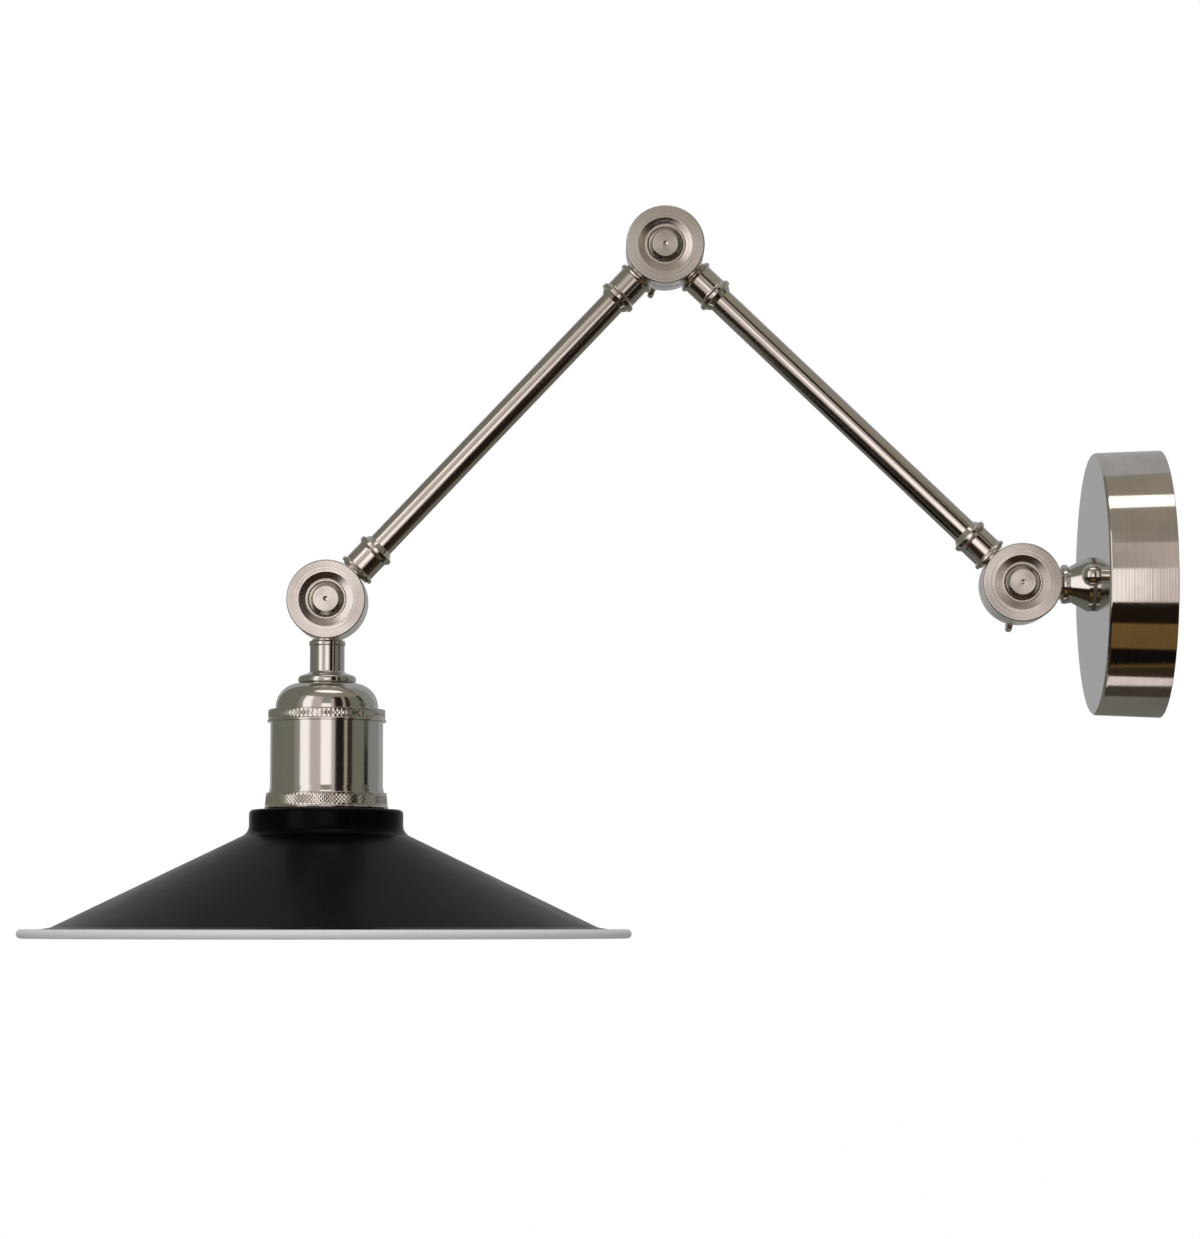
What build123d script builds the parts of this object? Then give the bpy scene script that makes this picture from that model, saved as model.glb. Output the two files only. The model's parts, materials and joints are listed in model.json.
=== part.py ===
from build123d import *
from math import cos, hypot, pi, radians, sin, sqrt, tan
import os

# Articulating wall lamp: a round canopy on a wall bracket, a swivel, two tube arms on three
# clamped knuckles, and a lampholder with a shallow enamelled shade.
# Frame: X along the wall, +Y into the wall, +Z up, origin on the wall at the canopy's centre.
# The arms lie in the plane X = 0. Angles are measured from +Y towards +Z.

# ---------------------------------------------------------------- driving dimensions (mm, degrees)
# Clearances
screw_clearance = 0.05  # radial gap of screwed or slid-in pieces of one body
running_clearance = 0.05  # radial gap of a shaft in the bore that turns on it
turning_gap = 0.05  # gap between flat faces that turn on each other
swing_gap = 0.4  # gap between a knuckle's rim and the stub that swings round it
hole_clearance = 0.4  # radial gap of a plain clearance hole

# Pose and arms
arm_length = 205.9  # between pivots
inner_arm_angle = 136.2
outer_arm_angle = 226.55
holder_angle = 270.0
tube_radius = 5.4
tube_wall = 1.2

# Canopy
canopy_depth = 28.0
canopy_back_radius = 56.0
canopy_front_radius = 54.9
canopy_wall = 1.2
canopy_edge_radius = 2.0

# Wall bracket and what fastens the canopy to it
bracket_thickness = 2.0
bracket_width = 20.0
bracket_corner_radius = 3.0
bracket_end_margin = 3.2  # metal beyond a slot
stud_end_margin = 8.0  # metal beyond a stud's axis
slot_spacing = 79.0
slot_length = 17.6
slot_width = 4.8
stud_spacing = 80.0
stud_radius = 2.0
stud_depth_in_ball = 5.5
stud_nut_width = 7.0
stud_nut_height = 3.2
ball_radius = 4.5
ball_skirt_radius = 3.25
ball_standoff = 5.0  # ball's centre in front of the canopy's face
earth_screw_offset = 22.0
earth_screw_radius = 2.0
earth_screw_head_radius = 3.8
earth_screw_head_height = 2.6
screw_slot_width = 0.9
screw_slot_depth = 1.1

# Swivel on the canopy's face
nipple_radius = 5.0
nipple_bore = 3.6
nipple_flat_depth = 0.7
nipple_end_beyond_nuts = 1.2
seat_washer_thickness = 0.6
seat_washer_inset = 0.3
cone_base_radius = 11.45
cone_band = 1.6
cone_length = 8.1
cone_tip_radius = 6.95
cone_bead_width = 2.9
cone_bead_radius = 8.2
backing_washer_radius = 17.0
backing_washer_thickness = 2.0
stop_lug_width = 2.0
stop_lug_depth = 3.0
stop_lug_height = 3.3
glide_washer_radius = 11.0
glide_washer_thickness = 1.0
stop_washer_radius = 11.0
stop_washer_thickness = 1.5
stop_tab_width = 3.0
swivel_spring_radius = 8.6
swivel_spring_thickness = 1.2
swivel_nut_width = 14.0
swivel_nut_heights = (4.0, 3.0)

# Knuckles: two cast halves face to face on a bolt
knuckle_radius = 16.5
knuckle_half_thickness = 10.0
knuckle_chamfer = 0.5
knuckle_boss_radius = 5.5
knuckle_rim_wall = 3.0
knuckle_cavity_depth = 6.0
dish_radius = 11.4
dish_depth = 1.1
lip_radius = 8.3
lip_width = 0.8
lip_height = 0.4
pocket_depth = 2.6
shoulder_radius = 6.4
spigot_radius = 4.6
spigot_length = 7.5
spigot_end_gap = 0.2
wire_bore = 2.9
friction_ring_thickness = 0.5
friction_ring_inset = 0.4

# Pivot bolts, washers and wing nuts
bolt_radius = 3.0
bolt_head_radius = 5.3
bolt_head_height = 3.9
bolt_head_edge = 0.6
bolt_dimple_radius = 1.1
bolt_dimple_depth = 0.5
bolt_square_side = 6.2
bolt_square_length = 2.5
bolt_stickout = 1.5
flat_washer_radius = 6.2
flat_washer_thickness = 1.6
spring_washer_radius = 5.5
spring_washer_thickness = 1.6
spring_washer_split = 0.9
wing_hub_radius = 6.2
wing_hub_top_radius = 5.2
wing_hub_height = 7.5
wing_span_radius = 18.5
wing_height = 15.3
wing_tip_radius = 3.8
wing_thickness = 3.0
wing_root_height = 0.8
wing_corner_radius = 3.4
wall_wing_angle = 261.0
elbow_wing_angle = 250.0
shade_wing_angle = 270.0

# Ferrules between a knuckle and a tube
ferrule_radius = 6.9
ferrule_length = 13.3  # from one bead's outer side to the other's
ferrule_bead_radius = 8.0
ferrule_bead_width = 1.8
bead_roundness = 0.45  # a bead's edge radius as a share of its width
ferrule_flare_length = 2.0
ferrule_lip = 0.45  # wall left at the flare's thin end

# Leads
lead_radius = 1.1
lead_offset = 1.3  # each lead's axis from the bore's axis
lead_end_gap = 0.6
supply_lead_bend = 7.5
supply_lead_depth = 6.5  # run's distance from the wall
supply_lead_start = 22.0  # start's distance from the wall
connector_start = 20.0  # from the canopy's axis
connector_length = 18.0
connector_mouth_radius = 5.0
connector_tip_radius = 3.6
connector_hole_depth = 8.0
connector_angles = (225.0, 315.0)

# Lampholder, measured along its axis down from the shade pivot
neck_radius = 7.25
neck_length = 13.7
neck_bead_radius = 7.55
neck_bead_width = 1.8
neck_collar_radius = 12.1
neck_collar_width = 4.1
holder_nipple_radius = 5.0
holder_nipple_bore = 3.6
holder_nipple_in_neck = 6.5
holder_nut_width = 14.0
holder_nut_height = 3.5
holder_nipple_stickout = 1.0
cap_inset = 2.1  # cap's radius inside the shell's
cap_crown_radius = 10.0
cap_height = 13.1
cap_wall = 1.2
cap_flange_inset = 0.35  # cap's flange inside the shell's radius
upper_ring_reach = 1.0  # beyond the shell's radius
upper_ring_foot_reach = 1.35
upper_ring_height = 4.4
upper_ring_web = 1.2
shell_radius = 23.5
shell_wall = 1.3
shell_visible_length = 29.5
shell_flare_rise = 0.4
shell_flare_length = 2.6
shell_web = 1.5
shell_in_lower_ring = 3.1
shell_collar_radius = 19.8
shell_collar_wall = 1.5
shell_collar_length = 15.6
lower_ring_reach = 1.7  # beyond the shell's radius
lower_ring_foot_reach = 2.35
lower_ring_height = 6.4
ring_edge = 0.5
shade_washer_thickness = 0.6
shade_washer_width = 3.8

# Lamp socket
core_wall = 1.6
core_floor = 7.0
core_chamber_depth = 9.7
core_cavity_gap = 0.2  # round the screw shell's foot
core_mouth_recess = 1.5  # how far the core's mouth lies inside the collar
core_clearance = 0.3
screw_shell_radius = 13.3  # inner radius of the lamp's screw shell
screw_shell_wall = 0.5
screw_shell_length = 24.0
screw_shell_web_hole = 7.0
screw_shell_foot_swell = 0.4  # plain foot round the contact, wider than the thread
contact_clearance = 0.3  # between the contact and the start of the thread
contact_width = 6.0
contact_thickness = 0.6
contact_rise = 3.0
contact_half_length = 6.0
post_offset = 9.0
post_width = 5.0
post_height = 4.0
post_screw_offset = 2.6
rivet_radius = 0.8
rivet_head_radius = 1.6
rivet_head_height = 0.6
rivet_depth_in_post = 1.5
contact_rivet_offset = 5.0
shell_rivet_offset = 9.0
terminal_screw_radius = 1.4
terminal_head_radius = 2.5
terminal_head_height = 1.6
terminal_screw_length = 2.6
lead_s_bend = 7.0
lead_s_start = 42.0
lead_s_end = 49.0

# Shade
shade_wall = 0.8
shade_neck_radius = 32.1
shade_neck_height = 9.6
shade_neck_edge = 1.8
shade_neck_fillet = 5.0
shade_cone_radius = 113.2
shade_cone_height = 39.2
shade_flange_width = 12.2
shade_flange_drop = 2.3
shade_flange_bend = 3.0
shade_rim_roll = 1.9
clamp_ring_width = 8.15
clamp_ring_height = 4.5
clamp_ring_notch = 4.0
clamp_ring_notch_depth = 2.5
clamp_ring_notch_step = 90  # degrees

# ---------------------------------------------------------------- places worked out from them
stub_face = knuckle_radius + swing_gap
cone_start = canopy_depth + seat_washer_thickness + turning_gap
cone_end = cone_start + cone_band + cone_length + cone_bead_width
wall_pivot = Vector(0, -(cone_end + stub_face), 0)


def direction(angle):
    """Unit vector in the arms' plane, turned from +Y towards +Z."""
    return Vector(0, cos(radians(angle)), sin(radians(angle)))


elbow_pivot = wall_pivot + direction(inner_arm_angle) * arm_length
shade_pivot = elbow_pivot + direction(outer_arm_angle) * arm_length

front_seat = friction_ring_thickness / 2
rear_seat = friction_ring_thickness / 2 + turning_gap
pocket_floor = knuckle_half_thickness - pocket_depth
flat_washer_seat = rear_seat + pocket_floor
spring_washer_seat = flat_washer_seat + flat_washer_thickness
wing_nut_seat = spring_washer_seat + spring_washer_thickness + turning_gap
bolt_hole_radius = bolt_radius + running_clearance
pocket_radius = lip_radius - lip_width
socket_depth = spigot_length + spigot_end_gap
tube_seat = stub_face + socket_depth

neck_end = stub_face + neck_length + neck_collar_width
cap_flange_top = neck_end + cap_height
upper_ring_top = cap_flange_top - upper_ring_web
shell_top = cap_flange_top + cap_wall
upper_ring_foot = upper_ring_top + upper_ring_height
lower_ring_top = upper_ring_foot + shell_visible_length
shell_foot = lower_ring_top + shell_in_lower_ring
lower_ring_foot = lower_ring_top + lower_ring_height
shade_top = lower_ring_foot + shade_washer_thickness
collar_end = shell_foot + shell_collar_length
clamp_ring_top = shade_top + shade_wall
cap_radius = shell_radius - cap_inset
cap_flange_radius = shell_radius - cap_flange_inset
upper_ring_radius = shell_radius + upper_ring_reach
upper_ring_foot_radius = shell_radius + upper_ring_foot_reach
shell_flare_radius = shell_radius + shell_flare_rise
lower_ring_radius = shell_radius + lower_ring_reach
lower_ring_foot_radius = shell_radius + lower_ring_foot_reach
core_outer_radius = shell_radius - shell_wall - core_clearance
core_neck_radius = shell_collar_radius - shell_collar_wall - core_clearance
core_cavity_radius = screw_shell_radius + screw_shell_foot_swell + screw_shell_wall + core_cavity_gap
core_floor_top = shell_top + core_chamber_depth
core_floor_foot = core_floor_top + core_floor
core_mouth = collar_end - core_mouth_recess
thread_start = core_floor_foot + contact_rise + contact_thickness + contact_clearance

at_wall_pivot = Pos(wall_pivot)
at_elbow_pivot = Pos(elbow_pivot)
at_shade_pivot = Pos(shade_pivot)
to_front = Rot(Z=-90)  # lays a piece built along +Y along +X
to_rear = Rot(Z=90)  # lays a piece built along +Y along -X
parts = {}


# ---------------------------------------------------------------- shape helpers
def outline_face(corners, rounds=()):
    """Face with the given (radius, along) corners; rounds lists (corner number, fillet radius)."""
    face = make_face(Polyline(*corners, close=True))
    for number, radius in rounds:
        nearest = face.vertices().sort_by_distance(Vector(*corners[number]))[0]
        face = fillet(nearest, radius)
    return face


def turned(corners, rounds=()):
    """Solid turned about Y from (radius, along) corners."""
    return revolve(outline_face(corners, rounds), Axis.Y)


def ring(inner, outer, start, end):
    """Plain ring or tube along Y."""
    return turned([(inner, start), (outer, start), (outer, end), (inner, end)])


def rod(radius, start, end):
    """Plain cylinder along Y."""
    return turned([(0, start), (radius, start), (radius, end), (0, end)])


def bead(radius, inner, start, width):
    """Round-edged ring along Y."""
    edge = width * bead_roundness
    corners = [(inner, start), (radius, start), (radius, start + width), (inner, start + width)]
    return turned(corners, [(1, edge), (2, edge)])


def sheet(points, wall, bends):
    """Sheet metal turned about Y: the outer line and the same line moved in by the wall.
    The sheet lies to the left of the line. bends lists (point number, outer radius)."""
    count = len(points)
    normals = []
    for (x0, y0), (x1, y1) in zip(points, points[1:]):
        length = hypot(x1 - x0, y1 - y0)
        normals.append(((y0 - y1) / length, (x1 - x0) / length))
    inner = []
    for number, (x, y) in enumerate(points):
        before = normals[max(number - 1, 0)]
        after = normals[min(number, count - 2)]
        scale = wall / (1 + before[0] * after[0] + before[1] * after[1])
        inner.append((x + scale * (before[0] + after[0]), y + scale * (before[1] + after[1])))
    rounds = []
    for number, radius in bends:
        before = normals[number - 1]
        after = normals[number]
        turns_left = before[0] * after[1] - before[1] * after[0] > 0
        rounds.append((number, radius))
        rounds.append((2 * count - 1 - number, radius - wall if turns_left else radius + wall))
    return turned(list(points) + inner[::-1], rounds)


def hexagon(width, bore, start, height):
    """Hexagon nut along Y with a plain bore."""
    blank = extrude(RegularPolygon(width / sqrt(3), 6), height)
    return Pos(Y=start) * Rot(X=-90) * blank - rod(bore, start, start + height)


def lead(points, radii):
    """Round lead along straight runs joined by tangent arcs."""
    if radii:
        path = FilletPolyline(*points, radius=radii)
    else:
        path = Line(*points)
    start = Plane(origin=path @ 0, z_dir=path % 0)
    wire = sweep(start * Circle(lead_radius), path=path)
    length = sum(edge.length for edge in path.edges())
    print(f"lead radii {radii} volume ratio {wire.volume / (pi * lead_radius**2 * length):.4f}")
    return wire


# ---------------------------------------------------------------- canopy and wall bracket
def make_canopy():
    """Drawn cup with a hole for the swivel's nipple and two for the studs."""
    outer_line = [
        (nipple_radius + running_clearance, -canopy_depth),
        (canopy_front_radius, -canopy_depth),
        (canopy_back_radius, 0),
    ]
    cup = sheet(outer_line, canopy_wall, [(1, canopy_edge_radius)])
    cup -= rod(2 * canopy_back_radius, 0, canopy_wall)
    for side in (-1, 1):
        hole = rod(stud_radius + hole_clearance, -canopy_depth, -canopy_depth + canopy_wall)
        cup -= Pos(X=side * stud_spacing / 2) * hole
    return cup


def make_wall_bracket():
    """Flat cross: level bar for the studs, upright bar with slots for the wall's screws."""
    bar_length = stud_spacing + 2 * stud_end_margin
    upright_length = slot_spacing + slot_length + 2 * bracket_end_margin
    bars = RectangleRounded(bar_length, bracket_width, bracket_corner_radius)
    bars += RectangleRounded(bracket_width, upright_length, bracket_corner_radius)
    slot = Rot(Z=90) * SlotOverall(slot_length, slot_width)
    stud_hole = Circle(stud_radius + screw_clearance)
    for side in (-1, 1):
        bars -= Pos(Y=side * slot_spacing / 2) * slot
        bars -= Pos(X=side * stud_spacing / 2) * stud_hole
    bars -= Pos(X=-earth_screw_offset) * Circle(earth_screw_radius + screw_clearance)
    return Rot(X=90) * extrude(bars, bracket_thickness)


def pair_on_studs(piece):
    """Two copies, one at each stud."""
    return Compound(children=[Pos(X=side * stud_spacing / 2) * piece for side in (-1, 1)])


def make_canopy_studs():
    """Threaded studs from the bracket into the ball nuts."""
    stud_end = canopy_depth + stud_depth_in_ball
    return pair_on_studs(rod(stud_radius, -stud_end, 0))


def make_stud_lock_nuts():
    """Hexagon nuts that lock the studs to the bracket."""
    start = -bracket_thickness - stud_nut_height
    return pair_on_studs(hexagon(stud_nut_width, stud_radius + screw_clearance, start, stud_nut_height))


def make_ball_nuts():
    """Ball-headed nuts with a short skirt on the canopy's face."""
    centre = -canopy_depth - ball_standoff
    nut = Pos(Y=centre) * Sphere(ball_radius) + rod(ball_skirt_radius, centre, -canopy_depth)
    nut -= Pos(Y=-canopy_depth + ball_radius) * Box(*(2 * ball_radius,) * 3)
    nut -= rod(stud_radius + screw_clearance, -canopy_depth - stud_depth_in_ball, -canopy_depth)
    return pair_on_studs(nut)


def make_earth_screw():
    """Slotted screw in the bracket for the earth lead."""
    head_top = -bracket_thickness - earth_screw_head_height
    corners = [
        (0, 0),
        (earth_screw_radius, 0),
        (earth_screw_radius, -bracket_thickness),
        (earth_screw_head_radius, -bracket_thickness),
        (earth_screw_head_radius, head_top),
        (0, head_top),
    ]
    screw = turned(corners, [(4, earth_screw_head_height / 2)])
    groove = Box(2 * earth_screw_head_radius, 2 * screw_slot_depth, screw_slot_width)
    return Pos(X=-earth_screw_offset) * (screw - Pos(Y=head_top) * groove)


def spread(angle, distance):
    """Point on the wall at a distance from the canopy's axis."""
    return Vector(distance * cos(radians(angle)), 0, distance * sin(radians(angle)))


def make_supply_leads():
    """Two leads from the nipple's bore, each bent over to its connector."""
    leads = []
    for angle in connector_angles:
        outward = spread(angle, 1)
        start = outward * lead_offset
        corner = start + Vector(0, -supply_lead_depth, 0)
        far = spread(angle, connector_start + connector_hole_depth)
        points = [start + Vector(0, -supply_lead_start, 0), corner, far + Vector(0, -supply_lead_depth, 0)]
        leads.append(lead(points, (supply_lead_bend,)))
    return Compound(children=leads)


def make_wire_connectors():
    """Twist-on connectors, one at the end of each supply lead."""
    cap = turned(
        [
            (0, 0),
            (connector_mouth_radius, 0),
            (connector_tip_radius, connector_length),
            (0, connector_length),
        ],
        [(2, connector_tip_radius / 2)],
    )
    cap -= rod(lead_radius + screw_clearance, 0, connector_hole_depth)
    caps = []
    for angle in connector_angles:
        place = Pos(spread(angle, connector_start) + Vector(0, -supply_lead_depth, 0))
        caps.append(place * Rot(Y=-angle) * Rot(Z=-90) * cap)
    return Compound(children=caps)


# ---------------------------------------------------------------- swivel
backing_start = -canopy_depth + canopy_wall
glide_start = backing_start + backing_washer_thickness + turning_gap
stop_washer_start = glide_start + glide_washer_thickness
spring_start = stop_washer_start + stop_washer_thickness
nuts_start = spring_start + swivel_spring_thickness
nuts_end = nuts_start + sum(swivel_nut_heights)
nipple_end = nuts_end + nipple_end_beyond_nuts
nipple_start = -cone_start - (cone_band + cone_length + cone_bead_width - socket_depth)


def make_seat_washer():
    """Thin washer between the canopy's face and the cone."""
    outer = cone_base_radius - seat_washer_inset
    return ring(nipple_radius + running_clearance, outer, -canopy_depth - seat_washer_thickness, -canopy_depth)


def make_swivel_cone():
    """Cone with a bead at its small end, screwed on the nipple and on the knuckle's spigot."""
    base = -cone_start
    tip = base - cone_band - cone_length
    corners = [
        (0, base),
        (cone_base_radius, base),
        (cone_base_radius, base - cone_band),
        (cone_tip_radius, tip),
        (0, tip),
    ]
    cone = turned(corners, [(2, cone_band / 2)])
    cone += bead(cone_bead_radius, 0, tip - cone_bead_width, cone_bead_width)
    cone -= rod(nipple_radius + screw_clearance, nipple_start, base)
    return cone - rod(spigot_radius + screw_clearance, -cone_end, -cone_end + socket_depth)


def nipple_flat(start, end):
    """Block beyond the flat on the nipple's rear end."""
    height = nipple_radius
    middle = nipple_radius - nipple_flat_depth + height / 2
    return Pos(Y=(start + end) / 2, Z=middle) * Box(3 * nipple_radius, end - start, height)


def make_swivel_nipple():
    """Threaded tube through the canopy, with a flat for the stop washer."""
    tube = ring(nipple_bore, nipple_radius, nipple_start, nipple_end)
    return tube - nipple_flat(stop_washer_start, nipple_end)


def make_backing_washer():
    """Stiff washer inside the canopy, with the lug that stops the swivel."""
    end = backing_start + backing_washer_thickness
    washer = ring(nipple_radius + running_clearance, backing_washer_radius, backing_start, end)
    lug = Box(stop_lug_width, stop_lug_height, stop_lug_depth)
    middle = backing_washer_radius - stop_lug_depth / 2 - seat_washer_inset
    return washer + Pos(Y=end + stop_lug_height / 2, Z=middle) * lug


def make_glide_washer():
    """Low-friction washer under the stop washer."""
    bore = nipple_radius + screw_clearance
    return ring(bore, glide_washer_radius, glide_start, glide_start + glide_washer_thickness)


def make_stop_washer():
    """Washer keyed to the nipple's flat, with a tab opposite the lug."""
    end = stop_washer_start + stop_washer_thickness
    tab_end = backing_washer_radius - seat_washer_inset
    tab = Box(stop_tab_width, stop_washer_thickness, tab_end)
    washer = rod(stop_washer_radius, stop_washer_start, end)
    washer += Pos(Y=(stop_washer_start + end) / 2, Z=-tab_end / 2) * tab
    hole = rod(nipple_radius + screw_clearance, stop_washer_start, end)
    return washer - (hole - Pos(Z=screw_clearance) * nipple_flat(stop_washer_start, end))


def split_washer(bore, outer, start, thickness):
    """Spring washer with its split, along Y."""
    washer = ring(bore, outer, start, start + thickness)
    gap = Box(outer, thickness, spring_washer_split)
    return washer - Pos(X=(bore + outer) / 2, Y=start + thickness / 2) * gap


def make_swivel_spring_washer():
    """Spring washer that keeps the swivel's drag."""
    bore = nipple_radius + screw_clearance
    return split_washer(bore, swivel_spring_radius, spring_start, swivel_spring_thickness)


def make_swivel_nuts():
    """Nut and lock nut on the nipple."""
    nuts = []
    start = nuts_start
    for height in swivel_nut_heights:
        nuts.append(hexagon(swivel_nut_width, nipple_radius + screw_clearance, start, height))
        start += height
    return Compound(children=nuts)


# ---------------------------------------------------------------- knuckles
def knuckle_half(seat, to_side, square_hole):
    """Cast half on one side of the arms' plane with its stub along +Y.
    seat is the distance of its mating face from that plane."""
    rim = knuckle_radius
    cavity = knuckle_radius - knuckle_rim_wall
    face = knuckle_half_thickness
    corners = [
        (bolt_hole_radius, 0),
        (knuckle_boss_radius, 0),
        (knuckle_boss_radius, knuckle_cavity_depth),
        (cavity, knuckle_cavity_depth),
        (cavity, 0),
        (rim, 0),
        (rim, face - knuckle_chamfer),
        (rim - knuckle_chamfer, face),
        (dish_radius, face),
        (lip_radius, face - dish_depth),
        (lip_radius, face - dish_depth + lip_height),
        (pocket_radius, face - dish_depth + lip_height),
        (pocket_radius, pocket_floor),
        (bolt_hole_radius, pocket_floor),
    ]
    disc = turned(corners)
    if square_hole:
        side = bolt_square_side + 2 * screw_clearance
        middle = pocket_floor - bolt_square_length / 2
        disc -= Pos(Y=middle) * Box(side, bolt_square_length, side)
    half = to_side * Pos(Y=seat) * disc
    shoulder = rod(shoulder_radius, cavity, stub_face)
    own_side = to_side * Pos(Y=seat + shoulder_radius / 2) * Box(2 * stub_face, shoulder_radius, 2 * stub_face)
    half += Pos(Y=stub_face) * own_side & shoulder
    half += rod(spigot_radius, stub_face, stub_face + spigot_length)
    return half - rod(wire_bore, cavity - knuckle_rim_wall, stub_face + spigot_length)


def make_pivot_bolt():
    """Button-headed bolt with a square neck, along +X through both halves."""
    head = front_seat + pocket_floor
    bolt = turned(
        [
            (0, head),
            (bolt_head_radius, head),
            (bolt_head_radius, head + bolt_head_height),
            (0, head + bolt_head_height),
        ],
        [(2, bolt_head_edge)],
    )
    bolt -= turned(
        [
            (0, head + bolt_head_height - bolt_dimple_depth),
            (bolt_dimple_radius, head + bolt_head_height),
            (0, head + bolt_head_height),
        ]
    )
    neck_middle = head - bolt_square_length / 2
    bolt += Pos(Y=neck_middle) * Box(bolt_square_side, bolt_square_length, bolt_square_side)
    bolt += rod(bolt_radius, -(wing_nut_seat + wing_hub_height + bolt_stickout), head)
    return to_front * bolt


def make_friction_ring():
    """Ring between the two halves, on the front one's rim."""
    inner = knuckle_radius - knuckle_rim_wall + friction_ring_inset
    outer = knuckle_radius - friction_ring_inset
    return to_front * ring(inner, outer, -front_seat, front_seat)


def make_flat_washer():
    """Flat washer in the rear pocket."""
    end = flat_washer_seat + flat_washer_thickness
    return to_rear * ring(bolt_hole_radius, flat_washer_radius, flat_washer_seat, end)


def make_spring_washer():
    """Spring washer under the wing nut."""
    washer = split_washer(bolt_hole_radius, spring_washer_radius, spring_washer_seat, spring_washer_thickness)
    return to_rear * washer


def make_wing_nut(angle):
    """Wing nut on the bolt's rear end, one wing at the given angle."""
    hub = turned(
        [
            (bolt_hole_radius, 0),
            (wing_hub_radius, 0),
            (wing_hub_top_radius, wing_hub_height),
            (bolt_hole_radius, wing_hub_height),
        ]
    )
    tip_centre = (wing_span_radius - wing_tip_radius, wing_height - wing_tip_radius)
    root = (bolt_hole_radius + wing_hub_top_radius) / 2
    blade = outline_face(
        [
            (root, wing_root_height),
            (wing_hub_radius, wing_root_height),
            (wing_span_radius, tip_centre[1] - wing_tip_radius),
            (wing_span_radius, wing_height),
            (wing_span_radius - 2 * wing_tip_radius, wing_height),
            (root, wing_hub_height - wing_root_height),
        ],
        [(2, wing_tip_radius), (3, wing_corner_radius), (4, wing_corner_radius)],
    )
    wing = extrude(blade, wing_thickness / 2, both=True)
    nut = hub + wing + Rot(Y=180) * wing
    nut -= rod(bolt_hole_radius, 0, wing_hub_height)
    return Rot(X=angle) * to_rear * Pos(Y=wing_nut_seat) * nut


# ---------------------------------------------------------------- arms
def make_ferrule():
    """Turned sleeve from a knuckle's stub to the tube, along +Y from the pivot."""
    end = stub_face + ferrule_length
    flare_end = end + ferrule_flare_length
    thin = tube_radius + screw_clearance + ferrule_lip
    sleeve = turned(
        [
            (0, stub_face),
            (ferrule_radius, stub_face),
            (ferrule_radius, end),
            (thin, flare_end),
            (0, flare_end),
        ]
    )
    sleeve += bead(ferrule_bead_radius, 0, stub_face, ferrule_bead_width)
    sleeve += bead(ferrule_bead_radius, 0, end - ferrule_bead_width, ferrule_bead_width)
    sleeve -= rod(spigot_radius + screw_clearance, stub_face, tube_seat)
    return sleeve - rod(tube_radius + screw_clearance, tube_seat, flare_end)


def make_tube():
    """Arm tube, along +Y from the pivot at its near end."""
    return ring(tube_radius - tube_wall, tube_radius, tube_seat, arm_length - tube_seat)


def make_arm_leads():
    """Two leads side by side through an arm."""
    start = stub_face + lead_end_gap
    leads = []
    for side in (-1, 1):
        offset = side * lead_offset
        leads.append(Pos(Z=offset) * rod(lead_radius, start, arm_length - start))
    return Compound(children=leads)


# ---------------------------------------------------------------- lampholder, along +Y from the pivot
nipple_top = neck_end - holder_nipple_in_neck
holder_nut_top = neck_end + cap_wall
holder_nut_foot = holder_nut_top + holder_nut_height
collar_hole_radius = shell_collar_radius + hole_clearance


def make_holder_neck():
    """Turned neck: bead, barrel and collar."""
    neck = rod(neck_radius, stub_face, stub_face + neck_length)
    neck += bead(neck_bead_radius, 0, stub_face, neck_bead_width)
    neck += bead(neck_collar_radius, 0, stub_face + neck_length, neck_collar_width)
    neck -= rod(spigot_radius + screw_clearance, stub_face, stub_face + socket_depth)
    neck -= rod(wire_bore, stub_face, neck_end)
    return neck - rod(holder_nipple_radius + screw_clearance, nipple_top, neck_end)


def make_holder_nipple():
    """Threaded tube that joins the neck to the cap."""
    end = holder_nut_foot + holder_nipple_stickout
    return ring(holder_nipple_bore, holder_nipple_radius, nipple_top, end)


def make_holder_nut():
    """Hexagon nut inside the cap."""
    bore = holder_nipple_radius + screw_clearance
    return hexagon(holder_nut_width, bore, holder_nut_top, holder_nut_height)


def make_socket_cap():
    """Domed cap with a flange under the upper ring."""
    outer_line = [
        (holder_nipple_radius + screw_clearance, neck_end),
        (cap_radius, neck_end),
        (cap_radius, cap_flange_top),
        (cap_flange_radius, cap_flange_top),
    ]
    return sheet(outer_line, cap_wall, [(1, cap_crown_radius)])


def make_upper_ring():
    """Ring nut that draws the cap's flange onto the shell."""
    corners = [
        (cap_radius + screw_clearance, upper_ring_top),
        (upper_ring_radius, upper_ring_top),
        (upper_ring_foot_radius, upper_ring_foot),
        (cap_flange_radius + screw_clearance, upper_ring_foot),
        (cap_flange_radius + screw_clearance, cap_flange_top),
        (cap_radius + screw_clearance, cap_flange_top),
    ]
    return turned(corners, [(1, ring_edge), (2, ring_edge)])


def make_socket_shell():
    """Shell with a thinner top inside the upper ring and a collar through the shade."""
    inner = shell_radius - shell_wall
    flare_start = lower_ring_top - shell_flare_length
    collar_inner = shell_collar_radius - shell_collar_wall
    return turned(
        [
            (inner, shell_top),
            (cap_flange_radius, shell_top),
            (cap_flange_radius, upper_ring_foot),
            (shell_radius, upper_ring_foot),
            (shell_radius, flare_start),
            (shell_flare_radius, lower_ring_top),
            (shell_flare_radius, shell_foot),
            (shell_collar_radius, shell_foot),
            (shell_collar_radius, collar_end),
            (collar_inner, collar_end),
            (collar_inner, shell_foot - shell_web),
            (inner, shell_foot - shell_web),
        ]
    )


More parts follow.
